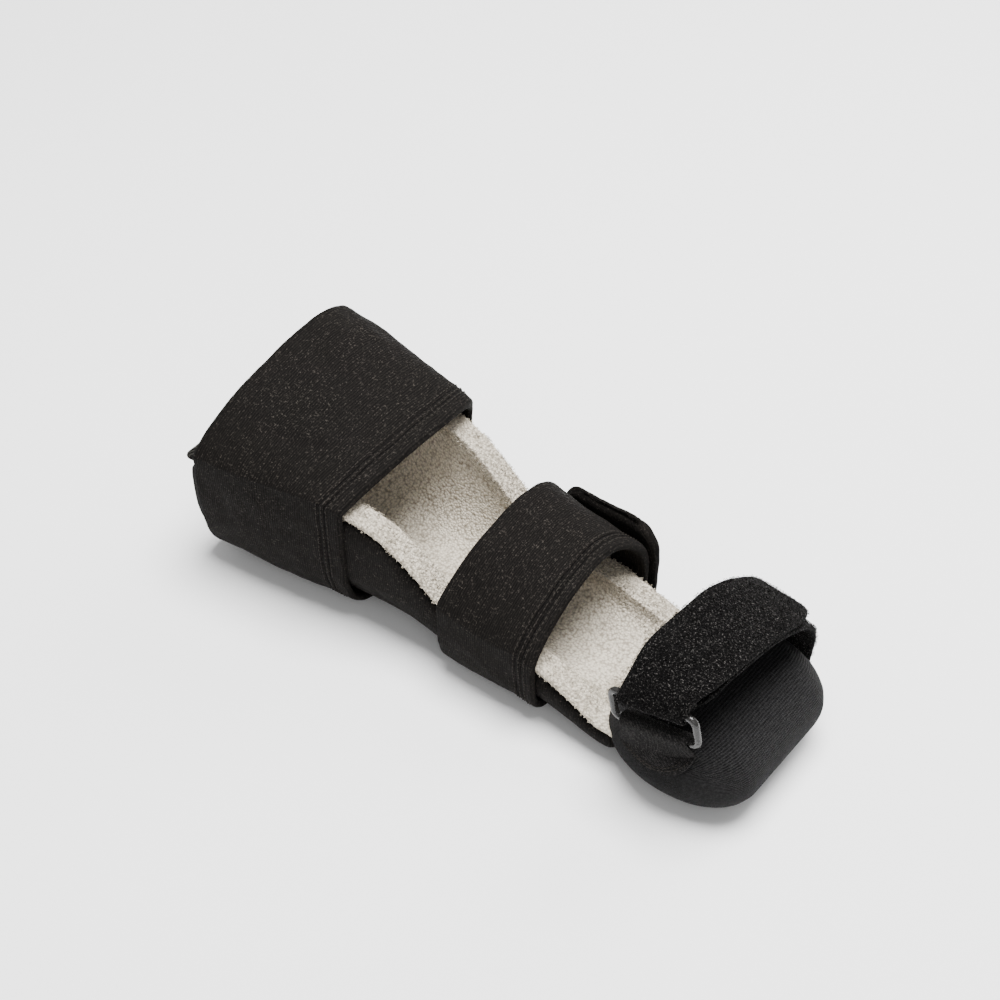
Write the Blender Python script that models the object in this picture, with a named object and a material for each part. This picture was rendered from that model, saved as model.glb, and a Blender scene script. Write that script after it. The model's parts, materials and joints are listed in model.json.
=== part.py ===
"""Hand splint: a padded forearm trough and palm roll, two wide wrap straps and a hand strap with its ring.

Metres, +Z up. X runs from the elbow end to the palm roll. -Y is the little-finger side, which carries the
ring. The straps' undersides and the roll rest on Z = 0, and the origin is under the middle of the splint.
"""
import math

import bmesh
import bpy
import numpy as np
from mathutils import Vector

# Sizes of the trough and of the limb space over it
TROUGH_LENGTH = 0.237
TROUGH_HALF_WIDTH = 0.057
LIP_HEIGHT = 0.064
LIMB_HEIGHT = 0.101
WALL_PADDING = 0.010
FLOOR_PADDING = 0.013
LINING_THICKNESS = 0.0025
RIM_SETBACK = 0.0008
RIM_ROUNDING = 0.0024
END_ROUNDING = 0.004

# Straps
WRAP_THICKNESS = 0.004
FOREARM_STRAP_START = 0.009
FOREARM_STRAP_WIDTH = 0.081
WRIST_STRAP_START_SHARE = 0.616
WRIST_STRAP_WIDTH = 0.056
WRAP_TIP_TUCK = 0.013
WRIST_FREE_END = 0.018
LAP_SKEW = 0.003
HAND_STRAP_WIDTH = 0.039
HAND_STRAP_THICKNESS = 0.0024
HAND_TIP_TUCK = 0.010
HAND_TIP_LIFT = 0.0025

# Palm roll
ROLL_LENGTH = 0.100
ROLL_DEPTH = 0.078
ROLL_HEIGHT = 0.047
ROLL_DOME = 0.024
ROLL_SEAT_SHARE = 0.15

# Ring and its tab
RING_LENGTH = 0.0485
RING_HEIGHT = 0.019
RING_ROD = 0.0036
RING_CORNER = 0.0035
RING_PLAY = 0.0018
RING_TILT = math.radians(13)
RING_RISE = 0.0090
RING_SET_IN = 0.0050
RING_BACK = 0.0055
TAB_WIDTH = 0.036
TAB_THICKNESS = 0.0022
TAB_LOW = 0.0060
TAB_TOP = 0.0125
TAB_BLUNT_SHARE = 0.85
TAB_WRAP_SHARE = 1.25
TAB_SEAT = 0.0006

# Clearances: between pieces that touch, under a strap that turns over a rim, under the lining, and
# between the trough's end and the roll
GAP = 0.0003
RIM_CLEARANCE = 0.0010
LINING_SEAT = 0.0006
ROLL_CLEARANCE = 0.0008

# Shapes of the sections: 2 is an ellipse, more is boxier, less is flatter
OUTER_SQUARENESS = 3.8
INNER_SQUARENESS = 2.3
NEAR_CROWN_SQUARENESS = 1.5
FAR_CROWN_SQUARENESS = 2.2
ROLL_SQUARENESS = 2.2
PRESSED_FLAT_RATIO = 1.012

# Sections along the trough. along is a share of TROUGH_LENGTH, near, far and lean are shares of
# TROUGH_HALF_WIDTH, lip is a share of LIP_HEIGHT and crown a share of LIMB_HEIGHT
SECTION_COLUMNS = ("along", "near", "far", "lip", "crown", "lean")
SECTIONS = (
    (0.00, 1.02, 1.02, 1.00, 1.00, 0.44),
    (0.20, 0.93, 0.92, 1.04, 0.92, 0.40),
    (0.38, 0.82, 0.81, 1.07, 0.81, 0.34),
    (0.47, 0.77, 0.77, 0.98, 0.77, 0.30),
    (0.55, 0.74, 0.74, 0.78, 0.73, 0.27),
    (0.63, 0.73, 0.71, 0.57, 0.69, 0.24),
    (0.72, 0.72, 0.69, 0.52, 0.65, 0.22),
    (0.83, 0.72, 0.68, 0.52, 0.60, 0.20),
    (0.91, 0.72, 0.69, 0.43, 0.58, 0.18),
    (1.00, 0.74, 0.72, 0.30, 0.56, 0.16),
)

# Slant of the strap edges. around is the share of the loop (0 underside, 0.25 near rim, 0.5 crown,
# 0.75 far rim), start and end are shares of the strap's width that the two edges move towards the hand
SLANT_COLUMNS = ("around", "start", "end")
FOREARM_SLANT = (
    (0.00, 0.00, 0.00),
    (0.25, 0.00, 0.05),
    (0.50, 0.04, 0.12),
    (0.75, 0.00, 0.06),
    (1.00, 0.00, 0.00),
)
WRIST_SLANT = (
    (0.00, 0.00, 0.00),
    (0.25, 0.02, 0.03),
    (0.50, 0.10, 0.00),
    (0.75, 0.10, 0.10),
    (1.00, 0.00, 0.00),
)

# The way of the hand strap's lower layer from the roll's far end over the hand to the ring. side is a
# share of the strap's reach past the middle of the roll, rise a share of HAND_RISE over the roll's
# middle, ahead a share of HAND_STRAP_WIDTH that it leans to the fingers, pitch a share of RING_TILT
HAND_RISE = 0.060
HAND_ROUTE_COLUMNS = ("side", "rise", "ahead", "pitch")
HAND_ROUTE = (
    (1.00, -0.14, 0.08, 0.0),
    (1.00, 0.12, 0.12, -0.1),
    (0.92, 0.40, 0.18, -0.3),
    (0.74, 0.66, 0.22, -0.5),
    (0.46, 0.83, 0.22, -0.6),
    (0.14, 0.92, 0.19, -0.6),
    (-0.20, 0.94, 0.15, -0.5),
    (-0.48, 0.90, 0.10, -0.2),
    (-0.69, 0.81, 0.05, 0.4),
    (-0.80, 0.72, 0.00, 1.0),
)

# Counts of faces
QUARTER_STEPS = 9
LOOP_STEPS = 4 * QUARTER_STEPS
TROUGH_STATIONS = 26
WRAP_SPANS = 6
ROLL_DOME_RINGS = 6
ROLL_SIDES = 32
ROUTE_STEPS = 30
FOLD_STEPS = 6
RIBBON_SPANS = 4
TAB_SPANS = 6
TAB_ROWS = 6
TAB_TURN_ROWS = 6
ROD_SIDES = 10
CORNER_STEPS = 4

# Loop steps where a wrap strap's lower layer starts on the far wall, and where its upper layer leaves
# the underside, has climbed over that start, and ends
WRAP_BEGIN_STEP = LOOP_STEPS - 5
LAP_START_STEP = 2
LAP_DONE_STEP = 4
FOREARM_END_STEP = -8
WRIST_END_STEP = -QUARTER_STEPS

# Rounded ends: the last rows of a strap, as shares of the way to its end, and the first rows of the
# trough, whose columns are shares of END_ROUNDING
TIP_ROWS = (0.0, 0.3, 0.55, 0.75, 0.9, 1.0)
ELBOW_COLUMNS = ("along", "inset")
ELBOW_ROWS = ((0.0, 1.0), (0.3, 0.3))

# The trough's palm end closes in steps, each a share of the way from its faces to the middle of the wall
SEAT_ROWS = (0.0, 0.3, 0.6, 0.9)
HAND_RETURN_SHARE = 0.70
HAND_RETURN_STEP = 2
HAND_TIP_ROWS = 5
FOLD_SETTLE_ROWS = 8
PINCH_ROWS = 4
FREE_END_LEAN_RATIO = 0.08
SLOPE_PROBE_SHARE = 0.01
SHARP_EDGE = math.radians(40)


def clear_scene():
    """Empty the scene of every object."""
    for leftover in list(bpy.data.objects):
        bpy.data.objects.remove(leftover, do_unlink=True)


def finish(name, colour, roughness, metallic=0.0):
    """A Principled material with one colour."""
    material = bpy.data.materials.new(name)
    material.use_nodes = True
    shader = material.node_tree.nodes["Principled BSDF"]
    shader.inputs["Base Color"].default_value = (*colour, 1.0)
    shader.inputs["Roughness"].default_value = roughness
    shader.inputs["Metallic"].default_value = metallic
    return material


def read_rows(rows, position):
    """Values of a table at a position along its first column, on a smooth curve through its rows."""
    table = np.array(rows)
    knots = table[:, 0]
    place = min(max(position, knots[0]), knots[-1])
    row = min(int(np.searchsorted(knots, place, side="right")) - 1, len(knots) - 2)
    slopes = np.gradient(table, knots, axis=0)
    step = knots[row + 1] - knots[row]
    share = (place - knots[row]) / step
    ease = share * share * (3 - 2 * share)
    leave = share * (1 - share) ** 2 * step
    arrive = share * share * (share - 1) * step
    return (table[row] * (1 - ease) + table[row + 1] * ease
            + slopes[row] * leave + slopes[row + 1] * arrive)[1:]


def ramp(value, start, end):
    """Smooth rise from 0 at start to 1 at end."""
    share = min(max((value - start) / (end - start), 0.0), 1.0)
    return share * share * (3 - 2 * share)


def quarter(share, squareness):
    """Point of a quarter superellipse, from (1, 0) at share 0 to (0, 1) at share 1."""
    turn = share * math.pi / 2
    power = 2 / squareness
    return max(math.cos(turn), 0.0) ** power, max(math.sin(turn), 0.0) ** power


def under_quarter(share, squareness):
    """Point of a quarter superellipse whose lowest stretch is pressed flat where the splint rests."""
    across, down = quarter(share, squareness)
    return across, min(down * PRESSED_FLAT_RATIO, 1.0)


def trough_base():
    """Height of the trough's underside, which stands on the straps under it."""
    return WRAP_THICKNESS + GAP


def section_at(x):
    """Half widths, rim height, crown height and lean of the trough and limb at a station."""
    share = dict(zip(SECTION_COLUMNS[1:], read_rows(SECTIONS, x / TROUGH_LENGTH)))
    return {
        "near": share["near"] * TROUGH_HALF_WIDTH,
        "far": share["far"] * TROUGH_HALF_WIDTH,
        "lip": trough_base() + share["lip"] * LIP_HEIGHT,
        "crown": trough_base() + share["crown"] * LIMB_HEIGHT,
        "lean": share["lean"] * TROUGH_HALF_WIDTH,
    }


def hollow_path(near, far, lip, floor, squareness, rim):
    """Points (y, z) of an open U, from the near rim under the limb to the far rim, cut level at rim."""
    half = [under_quarter(step / QUARTER_STEPS, squareness) for step in range(QUARTER_STEPS + 1)]
    heights = [min(lip - (lip - floor) * down, rim) for _, down in half]
    near_side = [(-near * across, height) for (across, _), height in zip(half, heights)]
    far_side = [(far * across, height) for (across, _), height in zip(half, heights)]
    return near_side + far_side[-2::-1]


def loop_point(x, step, lift):
    """Point (y, z) of the closed curve round trough and limb at a loop step, raised outwards by lift."""
    form = section_at(x)
    turn = step % LOOP_STEPS
    side = -1 if turn < LOOP_STEPS / 2 else 1
    climb = turn if side < 0 else LOOP_STEPS - turn
    half_width = (form["near"] if side < 0 else form["far"]) + lift
    base = trough_base() - lift
    lip = form["lip"] + RIM_CLEARANCE * ramp(lift, 0, GAP) + lift
    if climb <= QUARTER_STEPS:
        across, down = under_quarter(1 - climb / QUARTER_STEPS, OUTER_SQUARENESS)
        return side * half_width * across, lip - (lip - base) * down
    squareness = NEAR_CROWN_SQUARENESS if side < 0 else FAR_CROWN_SQUARENESS
    across, up = quarter(climb / QUARTER_STEPS - 1, squareness)
    reach = half_width - side * form["lean"]
    return form["lean"] + side * reach * across, lip + (form["crown"] + lift - lip) * up


def loft(name, rings):
    """A closed body skinned over rings of points, with its two end rings filled."""
    mesh = bmesh.new()
    rows = [[mesh.verts.new(point) for point in ring] for ring in rings]
    count = len(rows[0])
    for one, two in zip(rows, rows[1:]):
        for index in range(count):
            follow = (index + 1) % count
            mesh.faces.new((one[index], one[follow], two[follow], two[index]))
    ends = [mesh.faces.new(list(reversed(rows[0]))), mesh.faces.new(rows[-1])]
    bmesh.ops.triangulate(mesh, faces=ends)
    return place_body(name, mesh)


def place_body(name, mesh):
    """Turn a bmesh into a smooth-shaded object with its faces pointing out."""
    bmesh.ops.recalc_face_normals(mesh, faces=mesh.faces)
    data = bpy.data.meshes.new(name)
    mesh.to_mesh(data)
    mesh.free()
    data.shade_smooth()
    data.set_sharp_from_angle(angle=SHARP_EDGE)
    body = bpy.data.objects.new(name, data)
    bpy.context.scene.collection.objects.link(body)
    return body


def roll_middle():
    """Middle of the palm roll, which starts where the trough's floor ends."""
    return Vector((TROUGH_LENGTH + ROLL_DEPTH / 2, 0.0, ROLL_HEIGHT / 2))


def palm_roll():
    """The oval roll across the palm with its two domed ends."""
    middle = roll_middle()
    straight = ROLL_LENGTH / 2 - ROLL_DOME
    dome = [math.pi / 2 * step / ROLL_DOME_RINGS for step in range(ROLL_DOME_RINGS)]
    ends = [(straight + ROLL_DOME * math.sin(turn), math.cos(turn)) for turn in dome]
    mesh = bmesh.new()
    rows = []
    for y, size in [(-y, size) for y, size in reversed(ends)] + ends:
        row = []
        for side in range(ROLL_SIDES):
            turn = 2 * math.pi * side / ROLL_SIDES
            reach = ROLL_DEPTH / 2 * size * abs(math.cos(turn)) ** (2 / ROLL_SQUARENESS)
            rise = ROLL_HEIGHT / 2 * size * abs(math.sin(turn)) ** (2 / ROLL_SQUARENESS)
            ahead = math.copysign(reach, math.cos(turn))
            above = math.copysign(rise, math.sin(turn))
            row.append(mesh.verts.new((middle.x + ahead, y, middle.z + above)))
        rows.append(row)
    for one, two in zip(rows, rows[1:]):
        for index in range(ROLL_SIDES):
            follow = (index + 1) % ROLL_SIDES
            mesh.faces.new((one[index], one[follow], two[follow], two[index]))
    for row, way in ((rows[0], -1), (rows[-1], 1)):
        tip = mesh.verts.new((middle.x, way * ROLL_LENGTH / 2, middle.z))
        for index in range(ROLL_SIDES):
            mesh.faces.new((row[index], row[(index + 1) % ROLL_SIDES], tip))
    return place_body("palm_roll", mesh)


def roll_side(ahead, above):
    """Point on the roll's near dome, at distances ahead of and above the roll's middle, and its normal."""
    def depth(across, up):
        size = ((abs(across) / (ROLL_DEPTH / 2)) ** ROLL_SQUARENESS
                + (abs(up) / (ROLL_HEIGHT / 2)) ** ROLL_SQUARENESS) ** (1 / ROLL_SQUARENESS)
        return ROLL_LENGTH / 2 - ROLL_DOME + ROLL_DOME * math.sqrt(max(1 - size * size, 0.0))
    middle = roll_middle()
    reach = depth(ahead, above)
    probe = ROLL_DOME * SLOPE_PROBE_SHARE
    slope_ahead = (depth(ahead + probe, above) - depth(ahead - probe, above)) / (2 * probe)
    slope_above = (depth(ahead, above + probe) - depth(ahead, above - probe)) / (2 * probe)
    normal = Vector((-slope_ahead, -1.0, -slope_above)).normalized()
    return middle + Vector((ahead, -reach, above)), normal


def trough_stations():
    """Stations from the rounded elbow edge to the roll, each with its inset."""
    rows = [dict(zip(ELBOW_COLUMNS, row)) for row in ELBOW_ROWS]
    rounding = [(row["along"] * END_ROUNDING, row["inset"] * END_ROUNDING) for row in rows]
    stations = [(TROUGH_LENGTH - GAP) * step / TROUGH_STATIONS for step in range(TROUGH_STATIONS + 1)]
    return rounding + [(x, 0.0) for x in stations if x > END_ROUNDING]


def roll_back(y, z):
    """Station where the trough's end meets the roll's round back, or stops under it."""
    last = TROUGH_LENGTH + ROLL_DEPTH * ROLL_SEAT_SHARE
    past = max(abs(y) - ROLL_LENGTH / 2 + ROLL_DOME, 0.0) / (ROLL_DOME + ROLL_CLEARANCE)
    size = math.sqrt(max(1 - past * past, 0.0))
    rise = abs(z - ROLL_HEIGHT / 2)
    reach = (ROLL_HEIGHT / 2 + ROLL_CLEARANCE) * size
    if rise >= reach:
        return last
    depth = (1 - (rise / reach) ** ROLL_SQUARENESS) ** (1 / ROLL_SQUARENESS)
    return min(roll_middle().x - (ROLL_DEPTH / 2 + ROLL_CLEARANCE) * size * depth, last)


def trough_faces(x, inset):
    """Points (y, z) of the trough's outer and inner faces at a station, drawn in by inset."""
    form = section_at(x)
    rim = form["lip"] - LINING_THICKNESS - LINING_SEAT - inset
    outer = hollow_path(form["near"] - inset, form["far"] - inset, form["lip"],
                        trough_base() + inset, OUTER_SQUARENESS, rim)
    wall = WALL_PADDING - inset
    inner = hollow_path(form["near"] - wall, form["far"] - wall, form["lip"],
                        trough_base() + FLOOR_PADDING - inset, INNER_SQUARENESS, rim)
    return outer, inner


def trough_pad():
    """The padded trough: two walls and a floor, whose end is hollowed to seat the roll."""
    rings = []
    for x, inset in trough_stations():
        outer, inner = trough_faces(x, inset)
        rings.append([(x, y, z) for y, z in outer + inner[::-1]])
    outer, inner = trough_faces(TROUGH_LENGTH, 0.0)
    for closing in SEAT_ROWS:
        steps = [(Vector(two) - Vector(one)) / 2 * closing for one, two in zip(outer, inner)]
        below = [Vector(point) + step for point, step in zip(outer, steps)]
        above = [Vector(point) - step for point, step in zip(inner, steps)]
        rings.append([(roll_back(y, z), y, z) for y, z in below + above[::-1]])
    return loft("trough_pad", rings)


def terry_lining():
    """The terry layer over the inside of the trough and across the top of its walls, up to the roll."""
    rings = []
    for x, _ in trough_stations():
        form = section_at(x)
        lip = form["lip"]
        under = lip - LINING_THICKNESS
        wall = WALL_PADDING + LINING_SEAT
        inner_wall = wall + LINING_THICKNESS
        floor = trough_base() + FLOOR_PADDING + LINING_SEAT
        lower = hollow_path(form["near"] - wall, form["far"] - wall, lip, floor, INNER_SQUARENESS, under)
        upper = hollow_path(form["near"] - inner_wall, form["far"] - inner_wall, lip,
                            floor + LINING_THICKNESS, INNER_SQUARENESS, lip)
        edge = RIM_SETBACK
        near_edge = [(-form["near"] + edge, lip - edge), (-form["near"] + edge, under)]
        far_edge = [(form["far"] - edge, under), (form["far"] - edge, lip - edge)]
        near_crown = (-form["near"] + RIM_ROUNDING, lip)
        far_crown = (form["far"] - RIM_ROUNDING, lip)
        ring = [near_crown] + near_edge + lower + far_edge + [far_crown] + upper[::-1]
        rings.append([(x, y, z) for y, z in ring])
    return loft("terry_lining", rings)


def tuck_at(share, tuck):
    """How far a rounded end's side draws in, at a share of the way from where rounding starts to the tip."""
    return tuck * (1 - math.sqrt(max(1 - share * share, 0.0)))


def wrap_strap(name, start, width, slant, last_step, free_end):
    """A wide strap wrapped once round trough and limb, its end lapped over its start on the far wall."""
    places = [(step, 0.0, 0.0) for step in range(WRAP_BEGIN_STEP, last_step, -1)]
    if free_end:
        places += [(last_step, free_end * share, share) for share in TIP_ROWS]
    else:
        places = places[:-1] + [(last_step + 1 - share, 0.0, share) for share in TIP_ROWS]
    rings = []
    for step, past, tip in places:
        lap = ramp(-step, LAP_START_STEP, LAP_DONE_STEP)
        lift = GAP + (WRAP_THICKNESS + GAP) * lap
        slanted = dict(zip(SLANT_COLUMNS[1:], read_rows(slant, (step % LOOP_STEPS) / LOOP_STEPS)))
        tuck = tuck_at(tip, WRAP_TIP_TUCK)
        from_x = start + slanted["start"] * width + LAP_SKEW * lap + tuck
        to_x = start + (1 + slanted["end"]) * width + LAP_SKEW * lap - tuck
        stations = [from_x + (to_x - from_x) * span / WRAP_SPANS for span in range(WRAP_SPANS + 1)]
        inner = [(x, *loop_point(x, step, lift)) for x in stations]
        outer = [(x, *loop_point(x, step, lift + WRAP_THICKNESS)) for x in stations]
        rings.append([(x, y - past * FREE_END_LEAN_RATIO, z + past) for x, y, z in inner + outer[::-1]])
    return loft(name, rings)


def ring_middle():
    """Middle of the ring, which stands on edge over the roll's near shoulder."""
    middle = roll_middle()
    return Vector((middle.x - RING_BACK, -(ROLL_LENGTH / 2 - RING_SET_IN), ROLL_HEIGHT + RING_RISE))


def ring_along():
    """The way of the ring's long bars."""
    return Vector((math.cos(RING_TILT), 0.0, math.sin(RING_TILT)))


def ring_up():
    """The way of the ring's short sides."""
    return Vector((-math.sin(RING_TILT), 0.0, math.cos(RING_TILT)))


def bar_height():
    """Distance of the long bars' axes from the ring's middle."""
    return (RING_HEIGHT - RING_ROD) / 2


def strap_ring():
    """The rectangular ring: a round rod bent through four rounded corners."""
    half_long = (RING_LENGTH - RING_ROD) / 2 - RING_CORNER
    half_high = bar_height() - RING_CORNER
    sideways = Vector((0, 1, 0))
    mesh = bmesh.new()
    rows = []
    for corner in range(4):
        centre = ring_middle() + ring_along() * (half_long if corner in (0, 3) else -half_long)
        centre = centre + ring_up() * (half_high if corner in (0, 1) else -half_high)
        for step in range(CORNER_STEPS + 1):
            turn = math.pi / 2 * (corner + step / CORNER_STEPS)
            outward = ring_along() * math.cos(turn) + ring_up() * math.sin(turn)
            row = []
            for side in range(ROD_SIDES):
                roll = 2 * math.pi * side / ROD_SIDES
                around = outward * math.cos(roll) + sideways * math.sin(roll)
                row.append(mesh.verts.new(centre + outward * RING_CORNER + around * RING_ROD / 2))
            rows.append(row)
    for one, two in zip(rows, rows[1:] + rows[:1]):
        for index in range(ROD_SIDES):
            follow = (index + 1) % ROD_SIDES
            mesh.faces.new((one[index], one[follow], two[follow], two[index]))
    return place_body("strap_ring", mesh)


def band_ring(middles, normals, thickness):
    """Outline of a band's cross-section from its middle points and their normals."""
    lower = [point - normal * thickness / 2 for point, normal in zip(middles, normals)]
    upper = [point + normal * thickness / 2 for point, normal in zip(middles, normals)]
    return lower + upper[::-1]


def straight_row(middle, across, normal, half):
    """Cross-section of the hand strap, straight across its width."""
    shares = [2 * span / RIBBON_SPANS - 1 for span in range(RIBBON_SPANS + 1)]
    middles = [middle + across * half * share for share in shares]
    return band_ring(middles, [normal] * len(middles), HAND_STRAP_THICKNESS)


def hand_route():
    """Rows (middle, width way, outward normal) of the lower layer, from the roll's far end to the ring."""
    middle = roll_middle()
    reach = ROLL_LENGTH / 2 + GAP + HAND_STRAP_THICKNESS / 2
    knots = len(HAND_ROUTE) - 1
    numbered = [(row / knots, *values) for row, values in enumerate(HAND_ROUTE)]
    points = []
    for step in range(ROUTE_STEPS + 1):
        place = dict(zip(HAND_ROUTE_COLUMNS, read_rows(numbered, step / ROUTE_STEPS)))
        ahead = place["ahead"] * HAND_STRAP_WIDTH - RING_BACK
        point = middle + Vector((ahead, place["side"] * reach, place["rise"] * HAND_RISE))
        points.append((point, place["pitch"] * RING_TILT))
    rows = []
    for index, (point, tilt) in enumerate(points):
        run = points[min(index + 1, ROUTE_STEPS)][0] - points[max(index - 1, 0)][0]
        normal = Vector((0, run.z, -run.y)).normalized()
        rows.append((point, Vector((math.cos(tilt), 0, math.sin(tilt))), normal))
    return rows


def hand_strap():
    """The hand strap: from the roll's far end over the hand, round the ring's upper bar and back."""
    half = HAND_STRAP_WIDTH / 2
    lower = hand_route()
    rings = []
    for index, (point, across, normal) in enumerate(lower):
        pinch = RING_PLAY * ramp(index, ROUTE_STEPS - PINCH_ROWS, ROUTE_STEPS)
        rings.append(straight_row(point, across, normal, half - pinch))
    bar = ring_middle() + ring_up() * bar_height()
    radius = RING_ROD / 2 + GAP + HAND_STRAP_THICKNESS / 2
    for step in range(FOLD_STEPS + 1):
        turn = math.pi * step / FOLD_STEPS
        outward = Vector((0, math.cos(turn), 0)) - ring_up() * math.sin(turn)
        rings.append(straight_row(bar + outward * radius, ring_along(), -outward, half - RING_PLAY))
    back = lower[::-1][HAND_RETURN_STEP:int(ROUTE_STEPS * HAND_RETURN_SHARE)]
    for index, (point, across, normal) in enumerate(back):
        settle = 1 - ramp(index, 0, FOLD_SETTLE_ROWS)
        tip = max(index - (len(back) - 1 - HAND_TIP_ROWS), 0) / HAND_TIP_ROWS
        stand = HAND_STRAP_THICKNESS + GAP + RING_ROD * settle + HAND_TIP_LIFT * tip * tip
        tuck = tuck_at(tip, HAND_TIP_TUCK) + RING_PLAY * (1 - ramp(index, 0, PINCH_ROWS))
        rings.append(straight_row(point + normal * stand, across, -normal, half - tuck))
    return loft("hand_strap", rings)


def ring_tab():
    """The webbing tab: a half-oval patch sewn on the roll's near dome, turned over the ring's lower bar."""
    ahead = -RING_BACK / 2
    shares = [2 * span / TAB_SPANS - 1 for span in range(TAB_SPANS + 1)]
    rings = []
    for row in range(TAB_ROWS + 1):
        climb = row / TAB_ROWS
        half = TAB_WIDTH / 2 * math.sqrt(1 - (1 - climb) ** 2 * TAB_BLUNT_SHARE)
        above = TAB_LOW + (TAB_TOP - TAB_LOW) * climb
        slope = math.tan(RING_TILT) * climb
        spots = [roll_side(ahead + half * share, above + half * share * slope) for share in shares]
        normals = [normal for _, normal in spots]
        middles = [point + normal * (TAB_SEAT + TAB_THICKNESS / 2) for point, normal in spots]
        rings.append(band_ring(middles, normals, TAB_THICKNESS))
    bar = ring_middle() - ring_up() * bar_height()
    radius = RING_ROD / 2 + GAP + TAB_THICKNESS / 2
    for row in range(TAB_TURN_ROWS + 1):
        turn = math.pi * (1 - TAB_WRAP_SHARE * row / TAB_TURN_ROWS)
        outward = Vector((0, math.cos(turn), 0)) + ring_up() * math.sin(turn)
        middles = [bar + outward * radius + ring_along() * TAB_WIDTH / 2 * share for share in shares]
        rings.append(band_ring(middles, [outward] * len(middles), TAB_THICKNESS))
    return loft("ring_tab", rings)


def stand_on_origin(bodies):
    """Shift the bodies so that the origin is under the middle of the whole splint, on its resting plane."""
    bpy.context.view_layer.update()
    corners = [body.matrix_world @ Vector(corner) for body in bodies for corner in body.bound_box]
    lows = [min(corner[axis] for corner in corners) for axis in range(3)]
    highs = [max(corner[axis] for corner in corners) for axis in range(3)]
    shift = Vector(((lows[0] + highs[0]) / 2, (lows[1] + highs[1]) / 2, lows[2]))
    for body in bodies:
        body.location -= shift


def main():
    """Build the splint."""
    clear_scene()
    cover = finish("laminate_cover", (0.030, 0.029, 0.029), 0.85)
    terry = finish("terry", (0.62, 0.60, 0.56), 0.95)
    knit = finish("rib_knit", (0.033, 0.033, 0.036), 0.80)
    plush = finish("plush_loop", (0.022, 0.021, 0.022), 0.95)
    webbing = finish("webbing", (0.026, 0.026, 0.027), 0.80)
    clear_plastic = finish("clear_plastic", (0.30, 0.30, 0.31), 0.12)
    pieces = [
        (trough_pad(), cover),
        (terry_lining(), terry),
        (palm_roll(), knit),
        (wrap_strap("forearm_strap", FOREARM_STRAP_START, FOREARM_STRAP_WIDTH, FOREARM_SLANT,
                    FOREARM_END_STEP, 0.0), cover),
        (wrap_strap("wrist_strap", WRIST_STRAP_START_SHARE * TROUGH_LENGTH, WRIST_STRAP_WIDTH, WRIST_SLANT,
                    WRIST_END_STEP, WRIST_FREE_END), cover),
        (hand_strap(), plush),
        (strap_ring(), clear_plastic),
        (ring_tab(), webbing),
    ]
    for body, material in pieces:
        body.data.materials.append(material)
    stand_on_origin([body for body, _ in pieces])


main()
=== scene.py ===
"""Looks of a padded hand splint: trough, terry lining, wrap straps, palm roll, hand strap, ring and tab."""
import json
import logging
import math
from dataclasses import dataclass
from enum import Enum
from typing import Callable

import bmesh
import bpy
import numpy as np
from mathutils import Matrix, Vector, noise

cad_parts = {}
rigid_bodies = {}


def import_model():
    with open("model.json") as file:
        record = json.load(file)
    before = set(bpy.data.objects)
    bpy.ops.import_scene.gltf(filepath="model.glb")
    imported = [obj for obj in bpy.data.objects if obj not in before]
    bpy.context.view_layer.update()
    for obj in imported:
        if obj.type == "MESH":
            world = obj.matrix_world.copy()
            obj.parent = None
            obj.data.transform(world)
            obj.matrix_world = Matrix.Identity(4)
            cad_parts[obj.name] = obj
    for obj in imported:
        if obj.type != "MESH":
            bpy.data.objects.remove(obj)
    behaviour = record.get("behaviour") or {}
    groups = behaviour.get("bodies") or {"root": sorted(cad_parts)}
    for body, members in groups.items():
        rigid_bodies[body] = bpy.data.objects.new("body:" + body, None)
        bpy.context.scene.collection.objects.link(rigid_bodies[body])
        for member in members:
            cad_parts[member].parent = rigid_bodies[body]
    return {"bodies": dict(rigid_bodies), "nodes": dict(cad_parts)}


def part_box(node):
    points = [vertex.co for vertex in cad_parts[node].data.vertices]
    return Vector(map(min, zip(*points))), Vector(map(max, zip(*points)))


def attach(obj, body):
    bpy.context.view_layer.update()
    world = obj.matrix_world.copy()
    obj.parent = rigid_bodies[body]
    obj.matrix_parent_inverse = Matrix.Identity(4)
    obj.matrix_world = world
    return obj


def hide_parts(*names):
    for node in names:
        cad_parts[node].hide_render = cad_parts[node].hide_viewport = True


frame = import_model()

log = logging.getLogger("splint")

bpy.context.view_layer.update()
PAD_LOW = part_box("trough_pad")[0]
ROLL_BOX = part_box("palm_roll")
ORIGIN = Vector((PAD_LOW[0], (ROLL_BOX[0][1] + ROLL_BOX[1][1]) / 2, 0.0))

Array = np.ndarray

SEAM_STEP = 0.001
SHINE = 0.06
FUZZ_ROUGHNESS = 0.5
MILLIMETRES = 1000
CLOTH_STEPS = 20
CLOTH_STIFFNESS = 20
LOOP_STEPS = 36
COVER_VOXEL = 0.004
COVER_PRESSURE = 4.0
COVER_SWELL = 0.0016


class Slot(Enum):
    """Material slots of the record."""

    COVER = "laminate_cover"
    TERRY = "terry"
    KNIT = "rib_knit"
    PLUSH = "plush_loop"
    PLASTIC = "clear_plastic"
    WEBBING = "webbing"


def ramp(value: Array, start: float, end: float) -> Array:
    """Smooth rise from 0 at start to 1 at end."""
    share = np.clip((np.asarray(value, dtype=float) - start) / (end - start), 0.0, 1.0)
    return share * share * (3 - 2 * share)


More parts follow.
